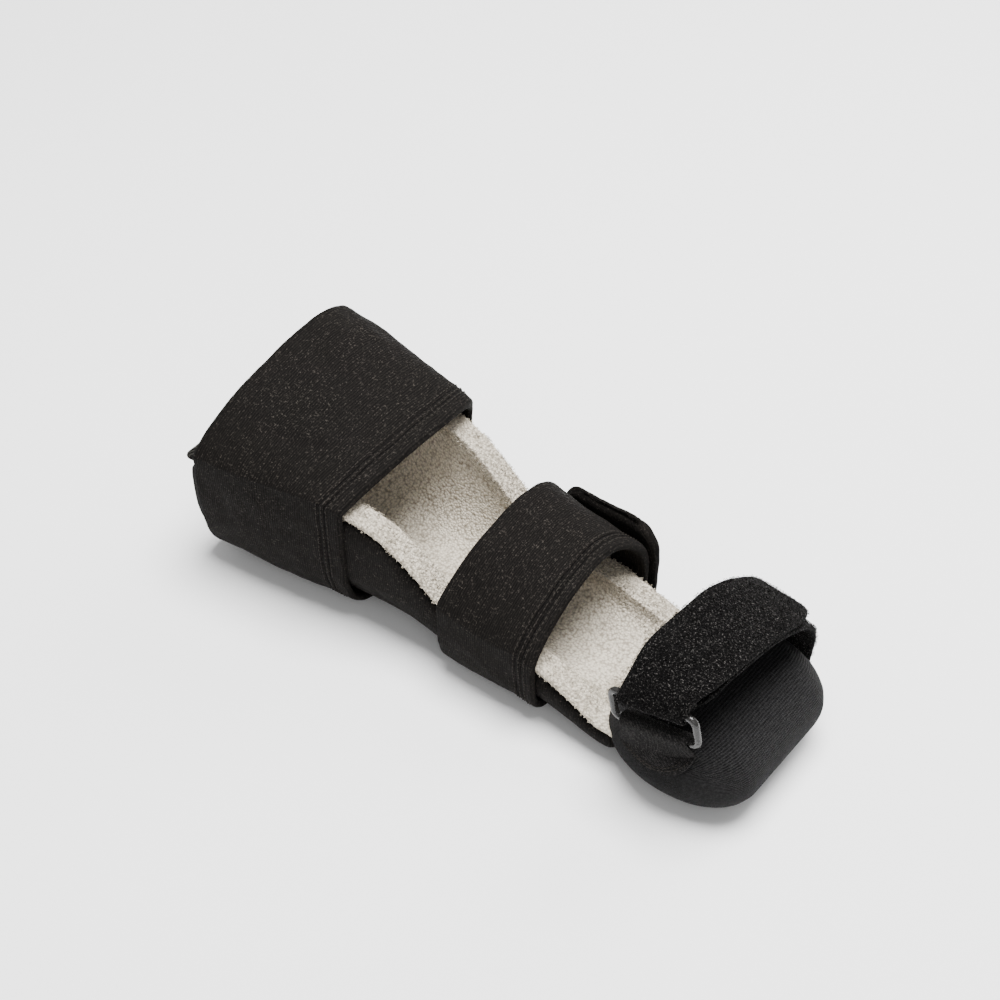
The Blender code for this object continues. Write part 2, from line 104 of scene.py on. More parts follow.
def read_rows(rows: tuple, position: Array) -> list[Array]:
    """Read a table along its first column, on a smooth curve through its rows.

    Args:
        rows: the table, its first column rising.
        position: places along the first column.

    Returns:
        One array for each further column.
    """
    table = np.array(rows, dtype=float)
    knots = table[:, 0]
    place = np.clip(np.asarray(position, dtype=float), knots[0], knots[-1])
    row = np.clip(np.searchsorted(knots, place, side="right") - 1, 0, len(knots) - 2)
    slopes = np.gradient(table, knots, axis=0)
    step = knots[row + 1] - knots[row]
    share = (place - knots[row]) / step
    ease = share * share * (3 - 2 * share)
    leave = share * (1 - share) ** 2 * step
    arrive = share * share * (share - 1) * step
    return [table[row, c] * (1 - ease) + table[row + 1, c] * ease
            + slopes[row, c] * leave + slopes[row + 1, c] * arrive for c in range(1, table.shape[1])]


def pillow(points: Array, size: float, seed: float, octaves: int = 3) -> Array:
    """Fractal noise from -1 to 1 at each of many points.

    Args:
        points: the places, shape (..., 3).
        size: length of the largest waves.
        seed: offset that tells one use from another.
        octaves: how many finer waves are added.

    Returns:
        The noise, shape (...).
    """
    flat = points.reshape(-1, 3) / size + seed
    values = [noise.fractal(Vector(place), 1.0, 2.0, octaves) for place in flat.tolist()]
    return np.array(values).reshape(points.shape[:-1])


def add_body(name: str, data: bpy.types.ID) -> bpy.types.Object:
    """Add an object that holds this data."""
    body = bpy.data.objects.new(name, data)
    bpy.context.scene.collection.objects.link(body)
    return body


def line_run(points: Array) -> Array:
    """Distance along a line at each of its points."""
    return np.concatenate([[0], np.cumsum(np.linalg.norm(np.diff(points, axis=0), axis=1))])


def band_uv(run: Array, across: Array) -> Array:
    """Distances along and across a band, with the seam of its last column set just past its edge."""
    wide = np.concatenate([across, [-SEAM_STEP]])
    return np.stack(np.broadcast_arrays(run[:, None], wide[None, :]), -1)


def surface(name: str, points: Array, uv: Array) -> bpy.types.Object:
    """Skin rings of points, with the first and last rings filled.

    Args:
        name: name of the new object.
        points: shape (rows, columns, 3), in the part's own frame.
        uv: shape (rows, columns + 1, 2), in metres.

    Returns:
        The object, in the row frame.
    """
    rows, columns, _ = points.shape
    row = np.arange(rows - 1)[:, None] * columns
    column = np.arange(columns)[None, :]
    follow = (column + 1) % columns
    quads = np.stack([row + column, row + follow, row + columns + follow, row + columns + column], -1)
    wide = columns + 1
    urow = np.arange(rows - 1)[:, None] * wide
    corners = np.stack([urow + column, urow + column + 1,
                        urow + wide + column + 1, urow + wide + column], -1)
    last = (rows - 1) * columns
    caps = [list(range(columns))[::-1], list(range(last, last + columns))]
    ends = np.concatenate([np.arange(columns)[::-1], (rows - 1) * wide + np.arange(columns)])
    places = np.concatenate([corners.reshape(-1), ends])
    data = bpy.data.meshes.new(name)
    data.from_pydata((points.reshape(-1, 3) + np.array(ORIGIN)).tolist(), [],
                     quads.reshape(-1, 4).tolist() + caps)
    layer = data.uv_layers.new(name="UVMap")
    layer.data.foreach_set("uv", uv.reshape(-1, 2)[places].astype(np.float32).ravel())
    return settle_mesh(name, data)


def settle_mesh(name: str, data: bpy.types.Mesh) -> bpy.types.Object:
    """Turn mesh data into a smooth-shaded object whose faces point out."""
    work = bmesh.new()
    work.from_mesh(data)
    bmesh.ops.recalc_face_normals(work, faces=work.faces)
    work.to_mesh(data)
    work.free()
    data.shade_smooth()
    return add_body(name, data)


def band_section(width: float, thickness: float, lines: tuple, spans: int) -> tuple[Array, Array]:
    """Outline of a flat band's cross-section with rounded edges.

    Args:
        width: width of the band.
        thickness: its thickness.
        lines: distances across the band that need extra points.
        spans: even spans over the width.

    Returns:
        Distances across (0 to width) and heights (0 to thickness), outer face first.
    """
    edge = thickness / 2
    even = np.linspace(edge, width - edge, spans)
    extra = [np.array(line) + offset for line in lines for offset in np.linspace(-0.0016, 0.0016, 9)]
    top = np.unique(np.round(np.concatenate([even, np.array(extra)]) if extra else even, 6))
    top = top[(top >= edge) & (top <= width - edge)]
    turn = np.linspace(0, math.pi, 9)[1:-1]
    far = np.stack([width - edge + edge * np.sin(turn), edge + edge * np.cos(turn)])
    under = np.linspace(width - edge, edge, max(spans // 3, 6))
    near = np.stack([edge - edge * np.sin(turn), edge - edge * np.cos(turn)])
    across = np.concatenate([top, far[0], under, near[0]])
    height = np.concatenate([np.full(len(top), thickness), far[1], np.zeros(len(under)), near[1]])
    return across, height


@dataclass(frozen=True)
class SplintForm:
    """The outline that trough, lining and wrap straps share."""

    length: float = 0.237
    half_width: float = 0.057
    lip_height: float = 0.064
    limb_height: float = 0.101
    base: float = 0.0043
    gap: float = 0.0003
    rim_clearance: float = 0.0010
    outer_squareness: float = 3.8
    inner_squareness: float = 2.3
    near_crown: float = 1.5
    far_crown: float = 2.2
    pressed_flat: float = 1.012
    columns: tuple = ("along", "near", "far", "lip", "crown", "lean")
    rows: tuple = (
        (0.00, 1.02, 1.02, 1.00, 1.00, 0.44),
        (0.20, 0.93, 0.92, 1.04, 0.92, 0.40),
        (0.38, 0.82, 0.81, 1.07, 0.81, 0.34),
        (0.47, 0.77, 0.77, 0.98, 0.77, 0.30),
        (0.55, 0.74, 0.74, 0.78, 0.73, 0.27),
        (0.63, 0.73, 0.71, 0.57, 0.69, 0.24),
        (0.72, 0.72, 0.69, 0.52, 0.65, 0.22),
        (0.83, 0.72, 0.68, 0.52, 0.60, 0.20),
        (0.91, 0.72, 0.69, 0.43, 0.58, 0.18),
        (1.00, 0.74, 0.72, 0.30, 0.56, 0.16),
    )

    def section(self, x: Array) -> dict[str, Array]:
        """Half widths, rim height, crown height and lean at stations x."""
        found = dict(zip(self.columns[1:], read_rows(self.rows, np.asarray(x) / self.length)))
        for name in ("near", "far", "lean"):
            found[name] = found[name] * self.half_width
        found["lip"] = self.base + found["lip"] * self.lip_height
        found["crown"] = self.base + found["crown"] * self.limb_height
        return found

    def under(self, share: Array, squareness: float) -> tuple[Array, Array]:
        """Point of a quarter superellipse whose lowest stretch is pressed flat."""
        turn = np.asarray(share) * math.pi / 2
        power = 2 / squareness
        across = np.clip(np.cos(turn), 0, 1) ** power
        return across, np.minimum(np.clip(np.sin(turn), 0, 1) ** power * self.pressed_flat, 1.0)

    def loop(self, x: Array, share: Array, lift: Array) -> Array:
        """Points of the closed curve round trough and limb.

        Args:
            x: stations.
            share: shares of the loop: 0 underside, 0.25 near rim, 0.5 crown, 0.75 far rim.
            lift: distances outwards from the trough's surface.

        Returns:
            The points, shape (..., 3).
        """
        x, share, lift = np.broadcast_arrays(x, share, lift)
        form = self.section(x)
        turn = np.mod(share, 1.0)
        side = np.where(turn < 0.5, -1.0, 1.0)
        climb = 4 * np.where(turn < 0.5, turn, 1 - turn)
        half = np.where(side < 0, form["near"], form["far"]) + lift
        base = self.base - lift
        lip = form["lip"] + self.rim_clearance * ramp(lift, 0, self.gap) + lift
        across, down = self.under(1 - np.minimum(climb, 1), self.outer_squareness)
        power = 2 / np.where(side < 0, self.near_crown, self.far_crown)
        high = np.clip(climb - 1, 0, 1) * math.pi / 2
        reach = half - side * form["lean"]
        y = np.where(climb <= 1, side * half * across,
                     form["lean"] + side * reach * np.clip(np.cos(high), 0, 1) ** power)
        z = np.where(climb <= 1, lip - (lip - base) * down,
                     lip + (form["crown"] + lift - lip) * np.clip(np.sin(high), 0, 1) ** power)
        return np.stack([x, y, z], -1)

    def hollow(self, x: Array, wall: float, floor: float, rim: Array, squareness: float, steps: int) -> Array:
        """Rows of points of an open U under the limb, from the near rim to the far rim.

        Args:
            x: stations, one row each.
            wall: how far the U lies inside the trough's surface at the sides.
            floor: how far it lies above the trough's underside.
            rim: height at which each row is cut level.
            squareness: shape of the U.
            steps: spans on each side.

        Returns:
            The points, shape (len(x), 2 * steps + 1, 3).
        """
        form = self.section(x)
        share = np.abs(np.linspace(-1, 1, 2 * steps + 1))
        side = np.where(np.linspace(-1, 1, 2 * steps + 1) < 0, -1.0, 1.0)
        across, down = self.under(1 - share ** 1.6, squareness)
        half = np.where(side < 0, form["near"][:, None], form["far"][:, None]) - wall
        lip = form["lip"][:, None]
        z = np.minimum(lip - (lip - self.base - floor) * down[None, :], rim[:, None])
        y = side[None, :] * half * across[None, :]
        return np.stack([np.broadcast_to(np.asarray(x)[:, None], y.shape), y, z], -1)


FORM = SplintForm()


def even_rows(points: Array, count: int) -> Array:
    """Spread each closed row of points evenly along its own length, to count points."""
    rows = []
    for row in points:
        ring = np.vstack([row, row[:1]])
        run = line_run(ring)
        places = np.linspace(0, run[-1], count + 1)[:-1]
        rows.append(np.stack([np.interp(places, run, ring[:, axis]) for axis in range(3)], -1))
    return np.array(rows)


def row_runs(points: Array) -> Array:
    """Distances round each closed row, shape (rows, columns + 1)."""
    ring = np.concatenate([points, points[:, :1]], axis=1)
    steps = np.linalg.norm(np.diff(ring, axis=1), axis=2)
    return np.concatenate([np.zeros((len(points), 1)), np.cumsum(steps, axis=1)], axis=1)


class Wire:
    """A value in a finish's node tree that adds, scales and compares like a number."""

    def __init__(self, board: "Board", socket: bpy.types.NodeSocket) -> None:
        """Keep the tree and the output socket."""
        self.board = board
        self.socket = socket

    def __add__(self, other: "Wire | float") -> "Wire":
        """Sum."""
        return self.board.math("ADD", self, other)

    def __radd__(self, other: "Wire | float") -> "Wire":
        """Sum with the value second."""
        return self.board.math("ADD", other, self)

    def __sub__(self, other: "Wire | float") -> "Wire":
        """Difference."""
        return self.board.math("SUBTRACT", self, other)

    def __rsub__(self, other: "Wire | float") -> "Wire":
        """Difference with the value second."""
        return self.board.math("SUBTRACT", other, self)

    def __mul__(self, other: "Wire | float") -> "Wire":
        """Product."""
        return self.board.math("MULTIPLY", self, other)

    def __rmul__(self, other: "Wire | float") -> "Wire":
        """Product with the value second."""
        return self.board.math("MULTIPLY", other, self)

    def __truediv__(self, other: "Wire | float") -> "Wire":
        """Quotient."""
        return self.board.math("DIVIDE", self, other)

    def __rtruediv__(self, other: "Wire | float") -> "Wire":
        """Quotient with the value second."""
        return self.board.math("DIVIDE", other, self)

    def __pow__(self, other: "Wire | float") -> "Wire":
        """Power."""
        return self.board.math("POWER", self, other)

    def __lt__(self, other: "Wire | float") -> "Wire":
        """1 where less."""
        return self.board.math("LESS_THAN", self, other)

    def __gt__(self, other: "Wire | float") -> "Wire":
        """1 where more."""
        return self.board.math("GREATER_THAN", self, other)

    def sin(self) -> "Wire":
        """Sine of the value."""
        return self.board.math("SINE", self)

    def fraction(self) -> "Wire":
        """Part of the value after the point."""
        return self.board.math("FRACT", self)

    def size(self) -> "Wire":
        """Value without its sign."""
        return self.board.math("ABSOLUTE", self)

    def bell(self, width: float) -> "Wire":
        """1 where the value is 0, falling smoothly to 0 about width away."""
        return self.board.math("EXPONENT", (self / width) ** 2.0 * -1.0)


class Board:
    """The node tree of one finish."""

    def __init__(self, name: str) -> None:
        """Start a material with a bare Principled shader."""
        self.material = bpy.data.materials.new(name)
        self.material.use_nodes = True
        self.tree = self.material.node_tree
        self.shader = self.tree.nodes["Principled BSDF"]

    def node(self, kind: str, settings: dict | None = None, values: dict | None = None,
             output: str | int = 0) -> Wire:
        """Add a node.

        Args:
            kind: node type.
            settings: attributes set first; "stops" holds the stops of a colour ramp.
            values: values or wires for the inputs, by name or number.
            output: the output that is wanted.

        Returns:
            The wire from that output.
        """
        made = self.tree.nodes.new(kind)
        for key, value in (settings or {}).items():
            if key == "stops":
                self.set_stops(made.color_ramp, value)
            else:
                setattr(made, key, value)
        for key, value in (values or {}).items():
            self.feed(made.inputs[key], value)
        return Wire(self, made.outputs[output])

    def set_stops(self, band: bpy.types.ColorRamp, stops: tuple) -> None:
        """Give a colour ramp its stops, each a place and a colour."""
        while len(band.elements) < len(stops):
            band.elements.new(1.0)
        for element, (place, colour) in zip(band.elements, stops):
            element.position = place
            element.color = (*colour, 1.0)

    def feed(self, socket: bpy.types.NodeSocket, value: "Wire | float | tuple") -> None:
        """Link a wire to a socket, or set its value."""
        if isinstance(value, Wire):
            self.tree.links.new(value.socket, socket)
        else:
            socket.default_value = value

    def math(self, operation: str, *values: "Wire | float") -> Wire:
        """Add a Math node."""
        return self.node("ShaderNodeMath", {"operation": operation}, dict(enumerate(values)))

    def mix(self, factor: "Wire | float", one: "Wire | tuple", two: "Wire | tuple") -> Wire:
        """Mix two colours."""
        settings = {"data_type": "RGBA"}
        colours = [(*c, 1.0) if isinstance(c, tuple) else c for c in (one, two)]
        return self.node("ShaderNodeMix", settings, {0: factor, 6: colours[0], 7: colours[1]}, 2)

    def split(self, vector: Wire) -> tuple[Wire, Wire, Wire]:
        """Take a vector's three parts."""
        made = self.node("ShaderNodeSeparateXYZ", values={0: vector}).socket.node
        return tuple(Wire(self, made.outputs[axis]) for axis in range(3))

    def place(self) -> Wire:
        """Position on the object, in metres."""
        return self.node("ShaderNodeTexCoord", output="Object")

    def cloth(self) -> tuple[Wire, Wire]:
        """Distances along and across the cloth, in millimetres."""
        along, across, _ = self.split(self.node("ShaderNodeUVMap", {"uv_map": "UVMap"}))
        return along * MILLIMETRES, across * MILLIMETRES

    def grain(self, vector: Wire, scale: float, detail: float = 2.0, roughness: float = 0.5) -> Wire:
        """Noise of about 0.5 at a scale in waves per metre."""
        return self.node("ShaderNodeTexNoise", None,
                         {"Vector": vector, "Scale": scale, "Detail": detail, "Roughness": roughness})

    def stretch(self, vector: Wire, scale: tuple) -> Wire:
        """Scale a vector along its axes."""
        return self.node("ShaderNodeVectorMath", {"operation": "MULTIPLY"}, {0: vector, 1: scale})

    def window(self, value: Wire, low: float, high: float) -> Wire:
        """Rise from 0 at low to 1 at high."""
        return self.node("ShaderNodeMapRange", None, {0: value, 1: low, 2: high, 3: 0.0, 4: 1.0})

    def join(self, x: "Wire | float", y: "Wire | float", z: "Wire | float" = 0.0) -> Wire:
        """Make a vector from three parts."""
        return self.node("ShaderNodeCombineXYZ", values={0: x, 1: y, 2: z})

    def finish(self, colour: "Wire | tuple", roughness: "Wire | float", height: Wire | None = None,
               depth: float = 0.0, sheen: float = 0.0,
               sheen_colour: tuple = (1.0, 1.0, 1.0)) -> bpy.types.Material:
        """Feed the Principled shader.

        Args:
            colour: base colour or its wire.
            roughness: roughness or its wire.
            height: wire of the relief from 0 to 1, if any.
            depth: depth of the relief in metres.
            sheen: weight of the fuzz.
            sheen_colour: colour of the fuzz.

        Returns:
            The finished material.
        """
        self.feed(self.shader.inputs["Base Color"], (*colour, 1.0) if isinstance(colour, tuple) else colour)
        self.feed(self.shader.inputs["Roughness"], roughness)
        self.shader.inputs["Sheen Weight"].default_value = sheen
        self.shader.inputs["Sheen Roughness"].default_value = FUZZ_ROUGHNESS
        self.shader.inputs["Sheen Tint"].default_value = (*sheen_colour, 1.0)
        self.shader.inputs["Specular IOR Level"].default_value = SHINE
        if height is not None:
            relief = self.node("ShaderNodeBump", None, {"Strength": 1.0, "Distance": depth, "Height": height})
            self.feed(self.shader.inputs["Normal"], relief)
        return self.material


@dataclass(frozen=True)
class LaminateFinish:
    """Smooth knitted nylon over foam, with fine lines and pale fibre specks."""

    colour: tuple = (0.0018, 0.0015, 0.0014)
    speck: tuple = (0.062, 0.054, 0.046)
    line_pitch: float = 1.2
    hems: tuple = ()
    mapped: bool = True

    def build(self, name: str) -> bpy.types.Material:
        """Make the material; hems are distances across, in mm, of pressed stitch lines."""
        board = Board(name)
        place = board.place()
        if self.mapped:
            along, across = board.cloth()
        else:
            x, y, z = board.split(place)
            along, across = (y + z) * MILLIMETRES, x * MILLIMETRES
        wander = board.grain(place, 60.0)
        lines = ((across + wander * 2.0) * (2 * math.pi / self.line_pitch)).sin() * 0.5 + 0.5
        cross = (along * (2 * math.pi / 0.8)).sin() * 0.5 + 0.5
        streak = board.grain(board.join(along * 0.12, across * 0.9), 1.0, 3.0)
        fibres = board.grain(board.stretch(place, (1.0, 1.0, 1.4)), 850.0, 3.0, 0.75)
        blotch = board.grain(place, 38.0, 3.0)
        weave = lines * 0.45 + cross * 0.15 + fibres * 0.40
        specks = board.window(fibres, 0.57, 0.69)
        amount = specks * (0.25 + blotch * 0.6) + lines * 0.07 + (streak - 0.5).size() * 0.15
        colour = board.mix(amount, self.colour, self.speck)
        height = weave + board.grain(place, 260.0) * 1.2
        for line in self.hems:
            # Each pressed hem line is a groove in the relief, with painted shade darkening the colour in the
            # groove.
            groove = (across - line).bell(0.45)
            colour = board.mix(groove * 0.35, colour, (0.0015, 0.0015, 0.0015))
            height = height - groove * 1.1
        return board.finish(colour, 0.85 - specks * 0.15, height, 0.00025, 0.004, (0.9, 0.85, 0.8))


@dataclass(frozen=True)
class TerryFinish:
    """Pale terry with shaded gaps between its loops, and a dark bound edge at the elbow end."""

    lit: tuple = (0.64, 0.575, 0.470)
    gap: tuple = (0.25, 0.218, 0.172)
    bound_to: float = -1.0

    def build(self, name: str) -> bpy.types.Material:
        """Make the material."""
        board = Board(name)
        place = board.place()
        loops = board.node("ShaderNodeTexVoronoi", None, {"Vector": place, "Scale": 780.0})
        fuzz = board.grain(place, 1500.0, 3.0, 0.7)
        patch = board.grain(place, 90.0, 3.0)
        depth = board.window(loops, 0.25, 0.85)
        colour = board.mix(depth * 0.9 + (patch - 0.5) * 0.5 + (fuzz - 0.5) * 0.5, self.lit, self.gap)
        x, _, _ = board.split(place)
        bound = (x + (fuzz - 0.5) * 0.002) < self.bound_to
        colour = board.mix(bound, colour, (0.0022, 0.0020, 0.0019))
        return board.finish(colour, 0.95, fuzz * 0.6 - loops * 1.2, 0.0008, 0.08, (1.0, 0.95, 0.85))


@dataclass(frozen=True)
class KnitFinish:
    """Fine rib knit whose ribs run round from one end of the roll to the other."""

    # ridge and valley are painted light and shade of one dark knit: rib crests painted lighter, valleys
    # darker; ridge is also the colour of the knit's own pale specks.
    ridge: tuple = (0.0262, 0.0255, 0.0258)
    valley: tuple = (0.0026, 0.0025, 0.0026)
    middle: tuple = (0.0, 0.0)
    ribs: int = 150

    def build(self, name: str) -> bpy.types.Material:
        """Make the material; middle is the x and z of the roll's axis."""
        board = Board(name)
        place = board.place()
        x, y, z = board.split(place)
        ahead = x - self.middle[0]
        above = (z - self.middle[1]) * 1.6
        turn = board.math("ARCTAN2", above, ahead)
        drift = board.grain(place, 45.0) * 0.35
        rib = ((turn + drift * 0.06) * float(self.ribs)).sin() * 0.5 + 0.5
        stitch = ((y + rib * 0.0004) * (2 * math.pi / 0.0011)).sin() * 0.5 + 0.5
        fibres = board.grain(place, 1000.0, 3.0, 0.75)
        speck = board.window(fibres, 0.45, 0.68)
        # The rib term is painted light and shade across the ribs; the speck term is the knit's own pale fibre
        # specks.
        colour = board.mix(rib * 0.4 + speck * 0.6, self.valley, self.ridge)
        height = rib * 0.7 + stitch * 0.3 + fibres * 0.8
        return board.finish(colour, 0.85, height, 0.0006, 0.02)


@dataclass(frozen=True)
class PlushFinish:
    """Dark looped plush with painted glints of light on the loops' tops."""

    low: tuple = (0.0014, 0.0013, 0.0013)
    # high is the colour of the painted glints, where light catches the loops' fibres.
    high: tuple = (0.095, 0.089, 0.084)

    def build(self, name: str) -> bpy.types.Material:
        """Make the material."""
        board = Board(name)
        place = board.place()
        loops = board.node("ShaderNodeTexVoronoi", None, {"Vector": place, "Scale": 1100.0})
        fuzz = board.grain(place, 1150.0, 3.0, 0.8)
        # Painted glints: pale spots where light catches the fibres, not a colour of the plush itself.
        fibre_glint = board.window(fuzz, 0.57, 0.67)
        colour = board.mix(fibre_glint, self.low, self.high)
        return board.finish(colour, 0.9, fuzz - loops, 0.0006, 0.008)


@dataclass(frozen=True)
class WebbingFinish:
    """Flat dark webbing with a twill weave."""

    low: tuple = (0.0025, 0.0024, 0.0024)
    high: tuple = (0.060, 0.056, 0.054)

    def build(self, name: str) -> bpy.types.Material:
        """Make the material."""
        board = Board(name)
        along, across = board.cloth()
        warp = (across * (2 * math.pi / 0.8)).sin() * 0.5 + 0.5
        twill = ((along + across * 0.5) * (2 * math.pi / 1.0)).sin() * 0.5 + 0.5
        fibres = board.grain(board.place(), 1300.0, 3.0, 0.8)
        weave = warp * 0.6 + twill * 0.4
        # Painted glints: pale spots where light catches the fibres, mixed over the weave's own faint tone.
        fibre_glint = board.window(fibres, 0.50, 0.68)
        colour = board.mix(weave * 0.12 + fibre_glint * 0.6, self.low, self.high)
        return board.finish(colour, 0.8, weave + fibres * 0.4, 0.00035, 0.01)


@dataclass(frozen=True)
class ThreadFinish:
    """Dull sewing thread."""

    low: tuple = (0.006, 0.005, 0.005)
    high: tuple = (0.045, 0.040, 0.034)

    def build(self, name: str) -> bpy.types.Material:
        """Make the material."""
        board = Board(name)
        twist = board.grain(board.place(), 2500.0)
        return board.finish(board.mix(twist, self.low, self.high), 0.6, twist, 0.0001)


@dataclass(frozen=True)
class PlasticFinish:
    """Smoky clear plastic with faint scuffs."""

    tint: tuple = (0.030, 0.029, 0.028)
    clearness: float = 0.35

    def build(self, name: str) -> bpy.types.Material:
        """Make the material."""
        board = Board(name)
        scuff = board.grain(board.place(), 700.0, 4.0)
        colour = board.mix(scuff, self.tint, tuple(value * 0.8 for value in self.tint))
        made = board.finish(colour, scuff * 0.10 + 0.05)
        board.shader.inputs["Specular IOR Level"].default_value = 0.5
        board.shader.inputs["Transmission Weight"].default_value = self.clearness
        board.shader.inputs["IOR"].default_value = 1.40
        return made


def dress(piece: bpy.types.Object, material: bpy.types.Material, slot: Slot, *nodes: str) -> bpy.types.Object:
    """Give a piece its finish and its place in the frame.

    Args:
        piece: the object.
        material: its finish.
        slot: the record's slot; not used.
        nodes: the CAD nodes that it stands for.

    Returns:
        The same object.
    """
    piece.data.materials.clear()
    piece.data.materials.append(material)
    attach(piece, "root")
    if nodes:
        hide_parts(*nodes)
    return piece


def tubes(name: str, paths: Array, radius: float, sides: int) -> bpy.types.Object:
    """Join many short threads into one mesh.

    Args:
        name: name of the new object.
        paths: shape (threads, points, 3), in the row frame.
        radius: radius of the thread.
        sides: sides of each thread.

    Returns:
        The object.
    """
    count, knots, _ = paths.shape
    run = np.gradient(paths, axis=1)
    run /= np.linalg.norm(run, axis=2, keepdims=True) + 1e-12
    aside = np.cross(run, np.array([0.31, 0.42, 0.85]))
    aside /= np.linalg.norm(aside, axis=2, keepdims=True) + 1e-12
    over = np.cross(run, aside)
    turn = 2 * math.pi * np.arange(sides) / sides
    fat = np.ones(knots)
    fat[[0, -1]] = 0.45
    ring = (aside[:, :, None] * np.cos(turn)[:, None] + over[:, :, None] * np.sin(turn)[:, None])
    points = paths[:, :, None] + ring * (radius * fat)[None, :, None, None]
    thread = (np.arange(count) * knots * sides)[:, None, None]
    knot = (np.arange(knots - 1) * sides)[None, :, None]
    side = np.arange(sides)[None, None, :]
    follow = (side + 1) % sides
    quads = np.stack(np.broadcast_arrays(thread + knot + side, thread + knot + follow,
                                         thread + knot + sides + follow, thread + knot + sides + side), -1)
    faces = quads.reshape(-1, 4).tolist()
    ends = np.concatenate([(thread[:, 0] + np.arange(sides)[::-1]),
                           (thread[:, 0] + (knots - 1) * sides + np.arange(sides))])
    data = bpy.data.meshes.new(name)
    data.from_pydata(points.reshape(-1, 3).tolist(), [], faces + ends.tolist())
    data.shade_smooth()
    return add_body(name, data)


@dataclass(frozen=True)
class Stitching:
    """A row of thread stitches, made as small arches along a line."""

    pitch: float = 0.0028
    share: float = 0.72
    radius: float = 0.00022
    seed: int = 3

    def paths(self, line: Array, normals: Array) -> Array:
        """Stitch paths along a line.

        Args:
            line: points of the line, shape (count, 3).
            normals: directions out of the cloth there.

        Returns:
            The paths, shape (stitches, 5, 3).
        """
        run = line_run(line)
        starts = np.arange(self.pitch, run[-1] - self.pitch, self.pitch)
        wander = np.random.default_rng(self.seed).uniform(-0.08, 0.08, len(starts)) * self.pitch
        share = np.linspace(0, 1, 5)
        places = (starts + wander)[:, None] + share[None, :] * self.pitch * self.share
        arch = self.radius * (1.1 * np.sin(math.pi * share) - 0.1)
        point = np.stack([np.interp(places, run, line[:, axis]) for axis in range(3)], -1)
        out = np.stack([np.interp(places, run, normals[:, axis]) for axis in range(3)], -1)
        return point + out * arch[None, :, None]

    def build(self, name: str, rows: list, slot: Slot) -> bpy.types.Object:
        """Sew every (line, normals) pair of rows, in the part's own frame, as one object."""
        paths = np.concatenate([self.paths(line, normals) for line, normals in rows]) + np.array(ORIGIN)
        body = tubes(name, paths, self.radius, 5)
        return dress(body, ThreadFinish().build(name + "_thread"), slot)


@dataclass(frozen=True)
class Pile:
    """Small cloth loops that stand on a surface."""

    count: int
    height: float
    spread: float
    radius: float
    seed: int

    def build(self, name: str, body: bpy.types.Object, keep: Callable[[Array, Array], Array],
              finish: bpy.types.Material, slot: Slot) -> bpy.types.Object:
        """Stand loops on a body.

        Args:
            name: name of the new object.
            body: the piece that carries the loops.
            keep: function of triangle middles and normals that says which triangles carry loops.
            finish: material of the loops.
            slot: the record's slot.

        Returns:
            The loops as one object.
        """
        mesh = body.data
        mesh.calc_loop_triangles()
        corners = np.empty(len(mesh.loop_triangles) * 3, dtype=int)
        mesh.loop_triangles.foreach_get("vertices", corners)
        spots = vertices(body)[corners.reshape(-1, 3)]
        cross = np.cross(spots[:, 1] - spots[:, 0], spots[:, 2] - spots[:, 0])
        area = np.linalg.norm(cross, axis=1)
        normals = cross / (area[:, None] + 1e-15)
        weight = area * keep(spots.mean(axis=1), normals)
        draw = np.random.default_rng(self.seed)
        count = self.count // 1
        chosen = draw.choice(len(area), count, p=weight / weight.sum())
        one, two = np.sort(draw.random((2, count)), axis=0)
        mix = np.stack([one, two - one, 1 - two], -1)
        base = (spots[chosen] * mix[..., None]).sum(axis=1)
        out = normals[chosen]
        way = np.cross(out, draw.normal(size=(count, 3)))
        way /= np.linalg.norm(way, axis=1, keepdims=True)
        lean = draw.normal(size=(count, 3)) * self.height * 0.22
        tall = self.height * draw.uniform(0.6, 1.15, count)
        turn = np.linspace(-0.15, 1.15, 5) * math.pi
        paths = (base[:, None] + way[:, None] * (self.spread * np.cos(turn))[None, :, None]
                 + out[:, None] * (tall[:, None] * (np.sin(turn) * 0.5 + 0.35))[..., None]
                 + lean[:, None] * (np.sin(turn) * 0.5 + 0.5)[None, :, None])
        loops = tubes(name, paths, self.radius, 3)
        return dress(loops, finish, slot)


def inflate(piece: bpy.types.Object, voxel: float, pressure: float, reach: float) -> None:
    """Let a filled cover swell a little, as cloth under pressure.

    Args:
        piece: the closed mesh.
        voxel: size of its new faces.
        pressure: push of the filling.
        reach: the furthest that a point may move.
    """
    apply_modifier(piece, "REMESH", mode="VOXEL", voxel_size=voxel, use_smooth_shade=True)
    rest = vertices(piece)
    cover = piece.modifiers.new("cover", "CLOTH")
    cover.settings.use_pressure = True
    cover.settings.uniform_pressure_force = pressure
    cover.settings.quality = 4
    cover.settings.tension_stiffness = CLOTH_STIFFNESS
    cover.settings.compression_stiffness = CLOTH_STIFFNESS
    cover.settings.effector_weights.gravity = 0
    cover.point_cache.frame_start = 1
    cover.point_cache.frame_end = CLOTH_STEPS
    for step in range(1, CLOTH_STEPS + 1):
        bpy.context.scene.frame_set(step)
    shown = piece.evaluated_get(bpy.context.evaluated_depsgraph_get())
    swollen = np.empty(len(shown.data.vertices) * 3)
    shown.data.vertices.foreach_get("co", swollen)
    piece.modifiers.remove(cover)
    bpy.context.scene.frame_set(1)
    move = swollen.reshape(-1, 3) - rest
    length = np.linalg.norm(move, axis=1, keepdims=True)
    place = rest + move * np.minimum(1.0, reach / np.maximum(length, 1e-9))
    place[:, 2] = np.maximum(place[:, 2], np.minimum(rest[:, 2], 0.0003))
    piece.data.vertices.foreach_set("co", place.ravel())
    piece.data.update()
    apply_modifier(piece, "SUBSURF", levels=1)
    piece.data.shade_smooth()


def vertices(piece: bpy.types.Object) -> Array:
    """Vertex places of a mesh, shape (count, 3)."""
    places = np.empty(len(piece.data.vertices) * 3)
    piece.data.vertices.foreach_get("co", places)
    return places.reshape(-1, 3)


